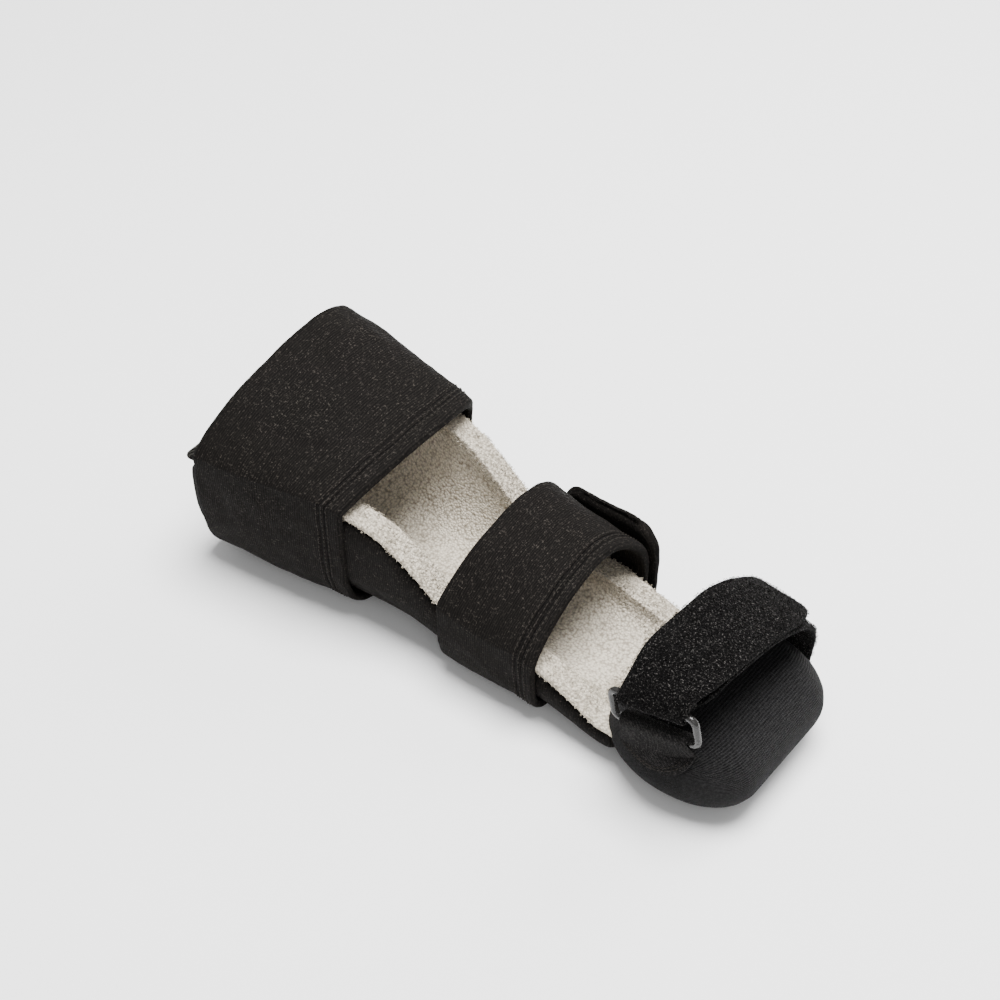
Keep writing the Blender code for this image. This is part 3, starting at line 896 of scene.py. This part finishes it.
def apply_modifier(piece: bpy.types.Object, kind: str, **settings: float | str | bool) -> None:
    """Add a modifier with its settings and make its result the mesh."""
    added = piece.modifiers.new("step", kind)
    for key, value in settings.items():
        setattr(added, key, value)
    shown = piece.evaluated_get(bpy.context.evaluated_depsgraph_get())
    made = bpy.data.meshes.new_from_object(shown)
    piece.modifiers.clear()
    old = piece.data
    piece.data = made
    bpy.data.meshes.remove(old)


@dataclass
class Trough:
    """The padded trough and its terry lining."""

    wall: float = 0.010
    floor: float = 0.013
    lining: float = 0.0025
    seat: float = 0.0006
    rim_setback: float = 0.0008
    end_rounding: float = 0.004
    overrun: float = 0.0117
    loop_depth: float = 0.007
    binding: float = 0.0105

    def stations(self, count: int) -> tuple[Array, Array]:
        """Stations along the trough and how far each is drawn in by the rounded elbow edge."""
        x = np.linspace(0.0, FORM.length + self.overrun, count)
        bend = np.clip(1 - x / self.end_rounding, 0, 1)
        return x, self.end_rounding * (1 - np.sqrt(1 - bend * bend)) * 0.999

    def pad(self) -> bpy.types.Object:
        """The padded trough, swollen a little by its foam."""
        x, inset = self.stations(90)
        form = FORM.section(x)
        rim = form["lip"] - self.lining - self.seat - inset
        outer = FORM.hollow(x, 0.0, 0.0, rim, FORM.outer_squareness, 40)
        inner = FORM.hollow(x, self.wall, self.floor, rim, FORM.inner_squareness, 40)
        shrink = inset[:, None]
        outer[..., 1] -= np.sign(outer[..., 1]) * shrink
        outer[..., 2] += shrink * (outer[..., 2] < 0.02)
        points = even_rows(np.concatenate([outer, inner[:, ::-1]], axis=1), 150)
        runs = row_runs(points)
        uv = np.stack([np.broadcast_to(x[:, None], runs.shape), runs], -1)
        body = surface("trough_pad_soft", points, uv)
        inflate(body, COVER_VOXEL, COVER_PRESSURE, COVER_SWELL)
        dress(body, LaminateFinish(mapped=False).build("pad_laminate"), Slot.COVER, "trough_pad")
        return body

    def terry(self) -> bpy.types.Object:
        """The terry layer over the inside of the trough and across the tops of its walls."""
        x, inset = self.stations(230)
        form = FORM.section(x)
        lip = form["lip"]
        lower = FORM.hollow(x, self.wall + self.seat, self.floor + self.seat, lip - self.lining,
                            FORM.inner_squareness, 60)
        upper = FORM.hollow(x, self.wall + self.seat + self.lining, self.floor + self.seat + self.lining,
                            lip, FORM.inner_squareness, 60)
        ends = []
        for side, width in ((-1, form["near"]), (1, form["far"])):
            edge = width - self.rim_setback - inset * 0.3
            spots = ((edge - 0.0016, lip), (edge - 0.0004, lip - 0.0004), (edge, lip - 0.0012),
                     (edge, lip - self.lining))
            ends.append(np.stack([np.stack([x, side * y, z], -1) for y, z in spots], axis=1))
        ring = np.concatenate([ends[0], lower, ends[1][:, ::-1], upper[:, ::-1]], axis=1)
        points = even_rows(ring, 280)
        lumps = pillow(points, 0.0035, 3.0, 2) * 0.0004
        middle = points.mean(axis=1, keepdims=True)
        points = points + (points - middle) / 0.05 * lumps[..., None]
        runs = row_runs(points)
        uv = np.stack([np.broadcast_to(x[:, None], runs.shape), runs], -1)
        body = surface("terry_lining_soft", points, uv)
        finish = TerryFinish(bound_to=ORIGIN.x + self.binding)
        dress(body, finish.build("terry_cloth"), Slot.TERRY, "terry_lining")
        return body

    def near_rim(self, middles: Array, normals: Array) -> Array:
        """Which triangles of the lining lie within a few millimetres of its rims."""
        along = middles[:, 0] - ORIGIN.x
        lip = FORM.section(along)["lip"]
        inside = (along > self.binding) & (along < FORM.length - 0.002)
        return (middles[:, 2] > lip - self.loop_depth) & (normals[:, 2] > -0.2) & inside

    def build(self) -> list:
        """Build both pieces and the loops along the rims."""
        pad = self.pad()
        terry = self.terry()
        pile = Pile(7800, 0.0011, 0.00045, 0.00013, 5)
        finish = TerryFinish(gap=(0.42, 0.375, 0.30)).build("terry_thread")
        loops = pile.build("terry_loops", terry, self.near_rim, finish, Slot.TERRY)
        return [pad, terry, loops]


# Where a strap's two edges lie, by share of the loop, as shares of its width past its straight run.
SLANT_COLUMNS = ("share", "back", "ahead")
FOREARM_SLANT = (
    (0.00, 0.00, 0.00),
    (0.25, 0.00, 0.05),
    (0.50, 0.04, 0.12),
    (0.75, 0.00, 0.06),
    (1.00, 0.00, 0.00),
)
WRIST_SLANT = (
    (0.00, 0.00, 0.00),
    (0.25, 0.02, 0.03),
    (0.50, 0.10, 0.00),
    (0.75, 0.10, 0.10),
    (1.00, 0.00, 0.00),
)


@dataclass
class WrapStrap:
    """A wide foam strap wrapped once round trough and limb."""

    name: str
    start: float
    width: float
    slant: tuple
    begin: float
    end: float
    free_end: float
    hems: tuple
    seams: tuple
    tuck: float = 0.013
    thickness: float = 0.004
    lap_skew: float = 0.003
    lap_from: float = 2
    lap_to: float = 4
    lean: float = 0.08
    hem_depth: float = 0.0004
    hem_width: float = 0.0007
    wide_wave: tuple = (0.028, 0.0011)
    fine_wave: tuple = (0.009, 0.0003)
    end_rows: int = 12
    axis: tuple = (0.0, 0.004, 0.045)
    seed: float = 1.0

    def path(self, count: int) -> tuple[Array, Array, Array]:
        """Loop shares, heights past the loop and distances along the strap, evenly spread."""
        share = np.linspace(self.begin, self.end, 3000)
        x = np.full_like(share, self.start + self.width / 2)
        line = FORM.loop(x, share, FORM.gap + self.thickness / 2)
        run = line_run(line)
        total = run[-1] + self.free_end
        tip = self.thickness / 2
        places = np.concatenate([tip * (1 - np.cos(np.linspace(0, math.pi / 2, 5)[:-1])),
                                 np.linspace(tip, total - tip, count),
                                 total - tip + tip * np.sin(np.linspace(0, math.pi / 2, 5)[1:])])
        return np.interp(places, run, share), np.maximum(places - run[-1], 0), places

    def build(self) -> list:
        """Build the strap with its rounded end, pressed hem lines, soft waves and stitches."""
        share, past, run = self.path(420)
        across, height = band_section(self.width, self.thickness, self.hems + self.seams, 64)
        lap = ramp(-share * LOOP_STEPS, self.lap_from, self.lap_to)
        lift = FORM.gap + (self.thickness + FORM.gap) * lap
        edges = dict(zip(SLANT_COLUMNS[1:], read_rows(self.slant, np.mod(share, 1.0))))
        to_tip = (run - (run[-1] - self.tuck)) / self.tuck
        tuck = self.tuck * (1 - np.sqrt(1 - np.clip(to_tip, 0, 1) ** 2)) * 0.96
        from_x = self.start + edges["back"] * self.width + self.lap_skew * lap + tuck
        to_x = self.start + (1 + edges["ahead"]) * self.width + self.lap_skew * lap - tuck
        x = from_x[:, None] + (to_x - from_x)[:, None] * (across / self.width)[None, :]
        tip = self.thickness / 2
        flat = np.minimum(np.minimum(run, run[-1] - run) / tip, 1.0)
        thin = np.sqrt(np.maximum(1 - (1 - flat) ** 2, 0.0))[:, None]
        level = tip + (height[None, :] - tip) * thin
        outer = np.clip(height / self.thickness, 0, 1)[None, :]
        for line in self.hems:
            level = level - self.hem_depth * np.exp(-((across[None, :] - line) / self.hem_width) ** 2) * outer
        points = FORM.loop(x, share[:, None], lift[:, None] + level)
        points[..., 2] += past[:, None]
        points[..., 1] -= past[:, None] * self.lean
        (wide, high), (fine, low) = self.wide_wave, self.fine_wave
        wave = pillow(points, wide, self.seed, 3) * high + pillow(points, fine, self.seed + 5, 2) * low
        points = points + self.outward(points) * (wave * outer)[..., None]
        points[..., 2] = np.maximum(points[..., 2], 0.0)
        body = surface(self.name + "_soft", points, band_uv(run, across))
        finish = LaminateFinish(hems=tuple(line * MILLIMETRES for line in self.hems))
        dress(body, finish.build(self.name + "_laminate"), Slot.COVER, self.name)
        top = np.flatnonzero(height >= self.thickness - 1e-9)
        rows = []
        for line in self.seams:
            column = top[np.argmin(np.abs(across[top] - line))]
            inner = slice(self.end_rows, len(points) - self.end_rows)
            rows.append((points[inner, column], self.outward(points[inner, column])))
        return [body, Stitching().build(self.name + "_stitches", rows, Slot.COVER)]

    def outward(self, points: Array) -> Array:
        """Directions away from the limb's axis, level with the section."""
        way = points - np.array(self.axis)
        way[..., 0] = 0.0
        return way / np.linalg.norm(way, axis=-1, keepdims=True)


@dataclass
class Roll:
    """The oval roll across the palm."""

    length: float = 0.100
    depth: float = 0.078
    height: float = 0.047
    dome: float = 0.024
    squareness: float = 2.2
    sides: int = 96
    tip_size: float = 0.02

    def middle(self) -> Vector:
        """Middle of the roll."""
        return Vector((FORM.length + self.depth / 2, 0.0, self.height / 2))

    def build(self) -> bpy.types.Object:
        """Build the roll, swollen a little by its filling."""
        arc = np.linspace(0, math.pi / 2, 16)[:-1]
        straight = self.length / 2 - self.dome
        side = straight + self.dome * np.sin(arc)
        tip = self.length / 2 - 1e-5
        y = np.concatenate([[-tip], -side[::-1], side, [tip]])
        size = np.concatenate([[self.tip_size], np.cos(arc)[::-1], np.cos(arc), [self.tip_size]])
        turn = np.linspace(0, 2 * math.pi, self.sides + 1)[:-1]
        power = 2 / self.squareness
        ahead = np.sign(np.cos(turn)) * np.abs(np.cos(turn)) ** power * self.depth / 2
        above = np.sign(np.sin(turn)) * np.abs(np.sin(turn)) ** power * self.height / 2
        middle = self.middle()
        points = np.stack([middle.x + size[:, None] * ahead, np.broadcast_to(y[:, None], (len(y), self.sides)),
                           middle.z + size[:, None] * above], -1)
        body = surface("palm_roll_soft", points, np.zeros((len(y), self.sides + 1, 2)))
        inflate(body, COVER_VOXEL, COVER_PRESSURE, COVER_SWELL)
        row = middle + ORIGIN
        dress(body, KnitFinish(middle=(row.x, row.z)).build("roll_knit"), Slot.KNIT, "palm_roll")
        return body

    def near_side(self, ahead: float, above: float) -> tuple[Vector, Vector]:
        """Point on the near dome and its normal, at distances ahead of and above the roll's middle."""
        reach = self.reach(ahead, above)
        probe = self.dome / 100
        slope_x = (self.reach(ahead + probe, above) - self.reach(ahead - probe, above)) / (2 * probe)
        slope_z = (self.reach(ahead, above + probe) - self.reach(ahead, above - probe)) / (2 * probe)
        return self.middle() + Vector((ahead, -reach, above)), Vector((-slope_x, -1.0, -slope_z)).normalized()

    def reach(self, ahead: float, above: float) -> float:
        """How far the dome stands out from the roll's middle."""
        size = ((abs(ahead) / (self.depth / 2)) ** self.squareness
                + (abs(above) / (self.height / 2)) ** self.squareness) ** (1 / self.squareness)
        return self.length / 2 - self.dome + self.dome * math.sqrt(max(1 - size * size, 0.0))


@dataclass
class Ring:
    """The rectangular ring that joins the hand strap to its tab."""

    roll: Roll
    length: float = 0.0485
    height: float = 0.019
    rod: float = 0.0036
    corner: float = 0.0035
    sides: int = 24
    corner_steps: int = 8
    tilt: float = math.radians(13)
    rise: float = 0.0090
    set_in: float = 0.0050
    back: float = 0.0055

    def middle(self) -> Vector:
        """Middle of the ring."""
        roll = self.roll
        return Vector((roll.middle().x - self.back, -(roll.length / 2 - self.set_in),
                       roll.height + self.rise))

    def along(self) -> Vector:
        """The way of the long bars."""
        return Vector((math.cos(self.tilt), 0.0, math.sin(self.tilt)))

    def up(self) -> Vector:
        """The way of the short sides."""
        return Vector((-math.sin(self.tilt), 0.0, math.cos(self.tilt)))

    def bar(self) -> float:
        """Distance of the long bars' axes from the middle."""
        return (self.height - self.rod) / 2

    def build(self) -> bpy.types.Object:
        """Build the rod bent through four corners."""
        half_long = (self.length - self.rod) / 2 - self.corner
        half_high = self.bar() - self.corner
        rows = []
        for corner in range(4):
            centre = self.middle() + self.along() * (half_long if corner in (0, 3) else -half_long)
            centre = centre + self.up() * (half_high if corner in (0, 1) else -half_high)
            for step in range(self.corner_steps + 1):
                turn = math.pi / 2 * (corner + step / self.corner_steps)
                outward = self.along() * math.cos(turn) + self.up() * math.sin(turn)
                rolls = [2 * math.pi * side / self.sides for side in range(self.sides)]
                rows.append([centre + outward * self.corner
                             + (outward * math.cos(roll) + Vector((0, 1, 0)) * math.sin(roll)) * self.rod / 2
                             for roll in rolls])
        rows.append(rows[0])
        points = np.array([[tuple(point) for point in row] for row in rows])
        body = surface("strap_ring_clear", points, np.zeros((len(rows), self.sides + 1, 2)))
        work = bmesh.new()
        work.from_mesh(body.data)
        ends = [face for face in work.faces if len(face.verts) > 4]
        bmesh.ops.delete(work, geom=ends, context="FACES_ONLY")
        bmesh.ops.remove_doubles(work, verts=work.verts, dist=1e-6)
        bmesh.ops.recalc_face_normals(work, faces=work.faces)
        work.to_mesh(body.data)
        work.free()
        return dress(body, PlasticFinish().build("ring_plastic"), Slot.PLASTIC, "strap_ring")


@dataclass
class HandStrap:
    """The plush strap from the roll's far end over the hand, round the ring and back."""

    roll: Roll
    ring: Ring
    width: float = 0.039
    thickness: float = 0.0024
    rise: float = 0.060
    play: float = 0.0018
    tip_lift: float = 0.0025
    tuck: float = 0.010
    returns: float = 0.70
    lower_rows: int = 200
    fold_rows: int = 26
    layer_steps: float = 30
    narrow_from: float = 26 / 30
    skipped_rows: int = 14
    skipped_steps: float = 3
    settle_steps: float = 8
    tip_steps: float = 5
    widen_steps: float = 4
    wave: tuple = (0.02, 0.0008)
    rows: tuple = (
        (1.00, -0.14, 0.08, 0.0),
        (1.00, 0.12, 0.12, -0.1),
        (0.92, 0.40, 0.18, -0.3),
        (0.74, 0.66, 0.22, -0.5),
        (0.46, 0.83, 0.22, -0.6),
        (0.14, 0.92, 0.19, -0.6),
        (-0.20, 0.94, 0.15, -0.5),
        (-0.48, 0.90, 0.10, -0.2),
        (-0.69, 0.81, 0.05, 0.4),
        (-0.80, 0.72, 0.00, 1.0),
    )

    def lower(self, count: int) -> tuple[Array, Array, Array]:
        """Middle points, width ways and outward normals of the lower layer."""
        middle = self.roll.middle()
        reach = self.roll.length / 2 + FORM.gap + self.thickness / 2
        knots = len(self.rows) - 1
        numbered = tuple((row / knots, *values) for row, values in enumerate(self.rows))
        side, rise, ahead, pitch = read_rows(numbered, np.linspace(0, 1, count))
        points = np.stack([middle.x + ahead * self.width - self.ring.back, middle.y + side * reach,
                           middle.z + rise * self.rise], -1)
        tilt = pitch * self.ring.tilt
        across = np.stack([np.cos(tilt), np.zeros(count), np.sin(tilt)], -1)
        run = np.gradient(points, axis=0)
        normal = np.stack([np.zeros(count), run[:, 2], -run[:, 1]], -1)
        return points, across, normal / np.linalg.norm(normal, axis=1, keepdims=True)

    def rows_of_strap(self) -> tuple[Array, Array, Array, Array]:
        """Middle points, width ways, face normals and half widths of every row."""
        count = self.lower_rows
        points, across, normal = self.lower(count)
        place = np.linspace(0, 1, count)
        half = self.width / 2 - self.play * ramp(place, self.narrow_from, 1.0)
        bar = np.array(self.ring.middle() + self.ring.up() * self.ring.bar())
        radius = self.ring.rod / 2 + FORM.gap + self.thickness / 2
        turn = np.linspace(0, math.pi, self.fold_rows)[1:-1]
        out = np.outer(np.cos(turn), (0, 1, 0)) - np.outer(np.sin(turn), np.array(self.ring.up()))
        fold = bar + out * radius
        fold_across = np.broadcast_to(np.array(self.ring.along()), fold.shape)
        fold_half = np.full(len(fold), self.width / 2 - self.play)
        back = slice(-self.skipped_rows, int(count * (1 - self.returns)) + 2, -1)
        away = np.linspace(0, 1, len(points[back]))
        steps = away * (self.returns * self.layer_steps - self.skipped_steps)
        settle = 1 - ramp(steps, 0, self.settle_steps)
        tip = np.clip((steps - (steps[-1] - self.tip_steps)) / self.tip_steps, 0, 1)
        stand = self.thickness + FORM.gap + self.ring.rod * settle + self.tip_lift * tip * tip
        back_points = points[back] + normal[back] * stand[:, None]
        back_half = (self.width / 2 - self.tuck * (1 - np.sqrt(1 - tip ** 2)) * 0.96
                     - self.play * (1 - ramp(steps, 0, self.widen_steps)))
        return (np.concatenate([points, fold, back_points]),
                np.concatenate([across, fold_across, across[back]]),
                np.concatenate([normal, -out, -normal[back]]),
                np.concatenate([half, fold_half, back_half]))

    def build(self) -> list:
        """Build the strap with its soft waves and plush loops."""
        middles, ways, normals, halves = self.rows_of_strap()
        across, height = band_section(self.width, self.thickness, (), 30)
        run = line_run(middles)
        share = (2 * across / self.width - 1)[None, :, None]
        level = (height - self.thickness / 2)[None, :, None]
        points = middles[:, None] + ways[:, None] * halves[:, None, None] * share + normals[:, None] * level
        wave = pillow(points, self.wave[0], 11.0, 3) * self.wave[1]
        points = points + normals[:, None] * wave[..., None]
        body = surface("hand_strap_soft", points, band_uv(run, across))
        dress(body, PlushFinish().build("strap_plush"), Slot.PLUSH, "hand_strap")
        # The loops' high colour is painted glints, where light catches their fibres.
        finish = PlushFinish(low=(0.0020, 0.0018, 0.0018), high=(0.105, 0.099, 0.094)).build("plush_thread")
        pile = Pile(7800, 0.0009, 0.00040, 0.00011, 9)
        return [body, pile.build("plush_loops", body, self.outside, finish, Slot.PLUSH)]

    def outside(self, middles: Array, normals: Array) -> Array:
        """Which triangles face away from the hand."""
        middle = self.roll.middle() + ORIGIN
        way = middles - np.array([middle.x, middle.y, middle.z])
        way[:, 0] = 0.0
        return (way * normals).sum(axis=1) > 0.0


@dataclass
class Tab:
    """The webbing tab sewn on the roll's near dome and turned over the ring's lower bar."""

    roll: Roll
    ring: Ring
    width: float = 0.036
    thickness: float = 0.0022
    low: float = 0.0060
    top: float = 0.0125
    bluntness: float = 0.85
    turn: float = 1.25
    seat: float = 0.0006
    patch_rows: int = 24
    turn_rows: int = 30
    seam_lines: tuple = ((0.90, 0.06), (0.74, 0.22))
    seam_points: int = 60

    def spot(self, share: float, climb: float) -> tuple[Vector, Vector]:
        """Point and normal of the patch on the roll."""
        half = self.width / 2 * math.sqrt(1 - (1 - climb) ** 2 * self.bluntness)
        above = self.low + (self.top - self.low) * climb
        slope = math.tan(self.ring.tilt) * climb
        return self.roll.near_side(-self.ring.back / 2 + half * share, above + half * share * slope)

    def build(self) -> list:
        """Build the tab and its seams."""
        across, height = band_section(self.width, self.thickness, (), 24)
        shares = 2 * across / self.width - 1
        rows = []
        run = []
        for row in range(self.patch_rows + 1):
            spots = [self.spot(share, row / self.patch_rows) for share in shares]
            lift = self.seat + height
            rows.append([tuple(point + normal * up) for (point, normal), up in zip(spots, lift)])
            run.append((self.top - self.low) * row / self.patch_rows)
        bar = self.ring.middle() - self.ring.up() * self.ring.bar()
        inner = self.ring.rod / 2 + FORM.gap
        for row in range(1, self.turn_rows + 1):
            turn = math.pi * (1 - self.turn * (row / self.turn_rows))
            outward = Vector((0, math.cos(turn), 0)) + self.ring.up() * math.sin(turn)
            rows.append([tuple(bar + outward * (inner + up) + self.ring.along() * self.width / 2 * share)
                         for share, up in zip(shares, height)])
            run.append(run[-1] + inner * math.pi * self.turn / self.turn_rows)
        body = surface("ring_tab_woven", np.array(rows), band_uv(np.array(run), across))
        dress(body, WebbingFinish().build("tab_webbing"), Slot.WEBBING, "ring_tab")
        return [body, Stitching(pitch=0.0019).build("tab_stitches", self.seams(), Slot.WEBBING)]

    def seams(self) -> list:
        """Curved seams near the patch's edge and a little inside it."""
        rows = []
        for share, low in self.seam_lines:
            turn = np.linspace(math.pi, 0, self.seam_points)
            spots = [self.spot(share * math.cos(angle), max(1 - (1 - low) * math.sin(angle), low))
                     for angle in turn]
            normals = np.array([tuple(normal) for _, normal in spots])
            line = np.array([tuple(point) for point, _ in spots]) + normals * (self.seat + self.thickness)
            rows.append((line, normals))
        return rows


@dataclass(frozen=True)
class Studio:
    """Pale floor, soft lights and the camera."""

    target: tuple = (-0.0075, -0.00127, 0.05)
    azimuth: float = math.radians(38)
    elevation: float = math.radians(45)
    distance: float = 0.95
    lens: float = 71.8
    shift_y: float = 0.049
    sky: float = 0.50
    light_columns: tuple = ("name", "place", "size", "watts")
    lights: tuple = (
        ("key", (0.1, 0.15, 1.7), 1.1, 96.0),
        ("fill", (0.9, -1.0, 1.1), 1.2, 5.0),
        ("back", (0.2, 1.3, 0.9), 1.0, 14.0),
    )

    def floor(self) -> None:
        """Lay a wide pale floor."""
        bpy.ops.mesh.primitive_plane_add(size=8.0, location=(0, 0, -0.0002))
        plane = bpy.context.object
        plane.name = "studio_floor"
        board = Board("studio_paper")
        grain = board.grain(board.place(), 3.0)
        paper = board.mix(grain, (0.94, 0.94, 0.94), (0.91, 0.91, 0.91))
        plane.data.materials.append(board.finish(paper, 0.9))

    def light(self, name: str, place: tuple, size: float, watts: float) -> None:
        """Hang one soft light that points at the splint."""
        lamp = bpy.data.lights.new(name, "AREA")
        lamp.shape = "DISK"
        lamp.size = size
        lamp.energy = watts
        body = add_body(name, lamp)
        body.location = place
        body.rotation_euler = (Vector(self.target) - Vector(place)).to_track_quat("-Z", "Y").to_euler()

    def camera(self) -> None:
        """Set the camera."""
        back = Vector((math.sin(self.azimuth) * math.cos(self.elevation),
                       -math.cos(self.azimuth) * math.cos(self.elevation), math.sin(self.elevation)))
        data = bpy.data.cameras.new("camera")
        data.lens = self.lens
        data.sensor_width = 36.0
        data.shift_y = self.shift_y
        body = add_body("camera", data)
        body.location = Vector(self.target) + back * self.distance
        body.rotation_euler = (-back).to_track_quat("-Z", "Y").to_euler()
        bpy.context.scene.camera = body

    def build(self) -> None:
        """Set up floor, lights, sky and camera."""
        self.floor()
        self.camera()
        for row in self.lights:
            self.light(**dict(zip(self.light_columns, row)))
        sky = bpy.data.worlds.new("sky")
        sky.use_nodes = True
        glow = sky.node_tree.nodes["Background"]
        glow.inputs["Color"].default_value = (1.0, 1.0, 1.0, 1.0)
        glow.inputs["Strength"].default_value = self.sky
        bpy.context.scene.world = sky


def clear_strays() -> None:
    """Remove what a new file holds apart from the frame."""
    kept = set(frame["nodes"].values()) | set(frame["bodies"].values())
    for stray in [body for body in bpy.data.objects if body not in kept]:
        bpy.data.objects.remove(stray, do_unlink=True)


def main() -> None:
    """Build and dress the splint."""
    logging.basicConfig(level=logging.INFO, format="%(message)s")
    clear_strays()
    roll = Roll()
    ring = Ring(roll)
    makers = [
        Trough(),
        WrapStrap("forearm_strap", 0.009, 0.081, FOREARM_SLANT, 31 / LOOP_STEPS, -8 / LOOP_STEPS, 0.0,
                  hems=(0.0705, 0.0735), seams=(0.0690, 0.0720, 0.0745)),
        WrapStrap("wrist_strap", 0.146, 0.056, WRIST_SLANT, 31 / LOOP_STEPS, -9 / LOOP_STEPS, 0.018,
                  hems=(0.0470, 0.0500), seams=(0.0455, 0.0485, 0.0515), seed=7.0),
        roll,
        HandStrap(roll, ring),
        ring,
        Tab(roll, ring),
    ]
    for maker in makers:
        made = maker.build()
        for piece in made if isinstance(made, list) else [made]:
            log.info("%s: %d faces", piece.name, len(piece.data.polygons))
    Studio().build()


if __name__ == "__main__":
    main()
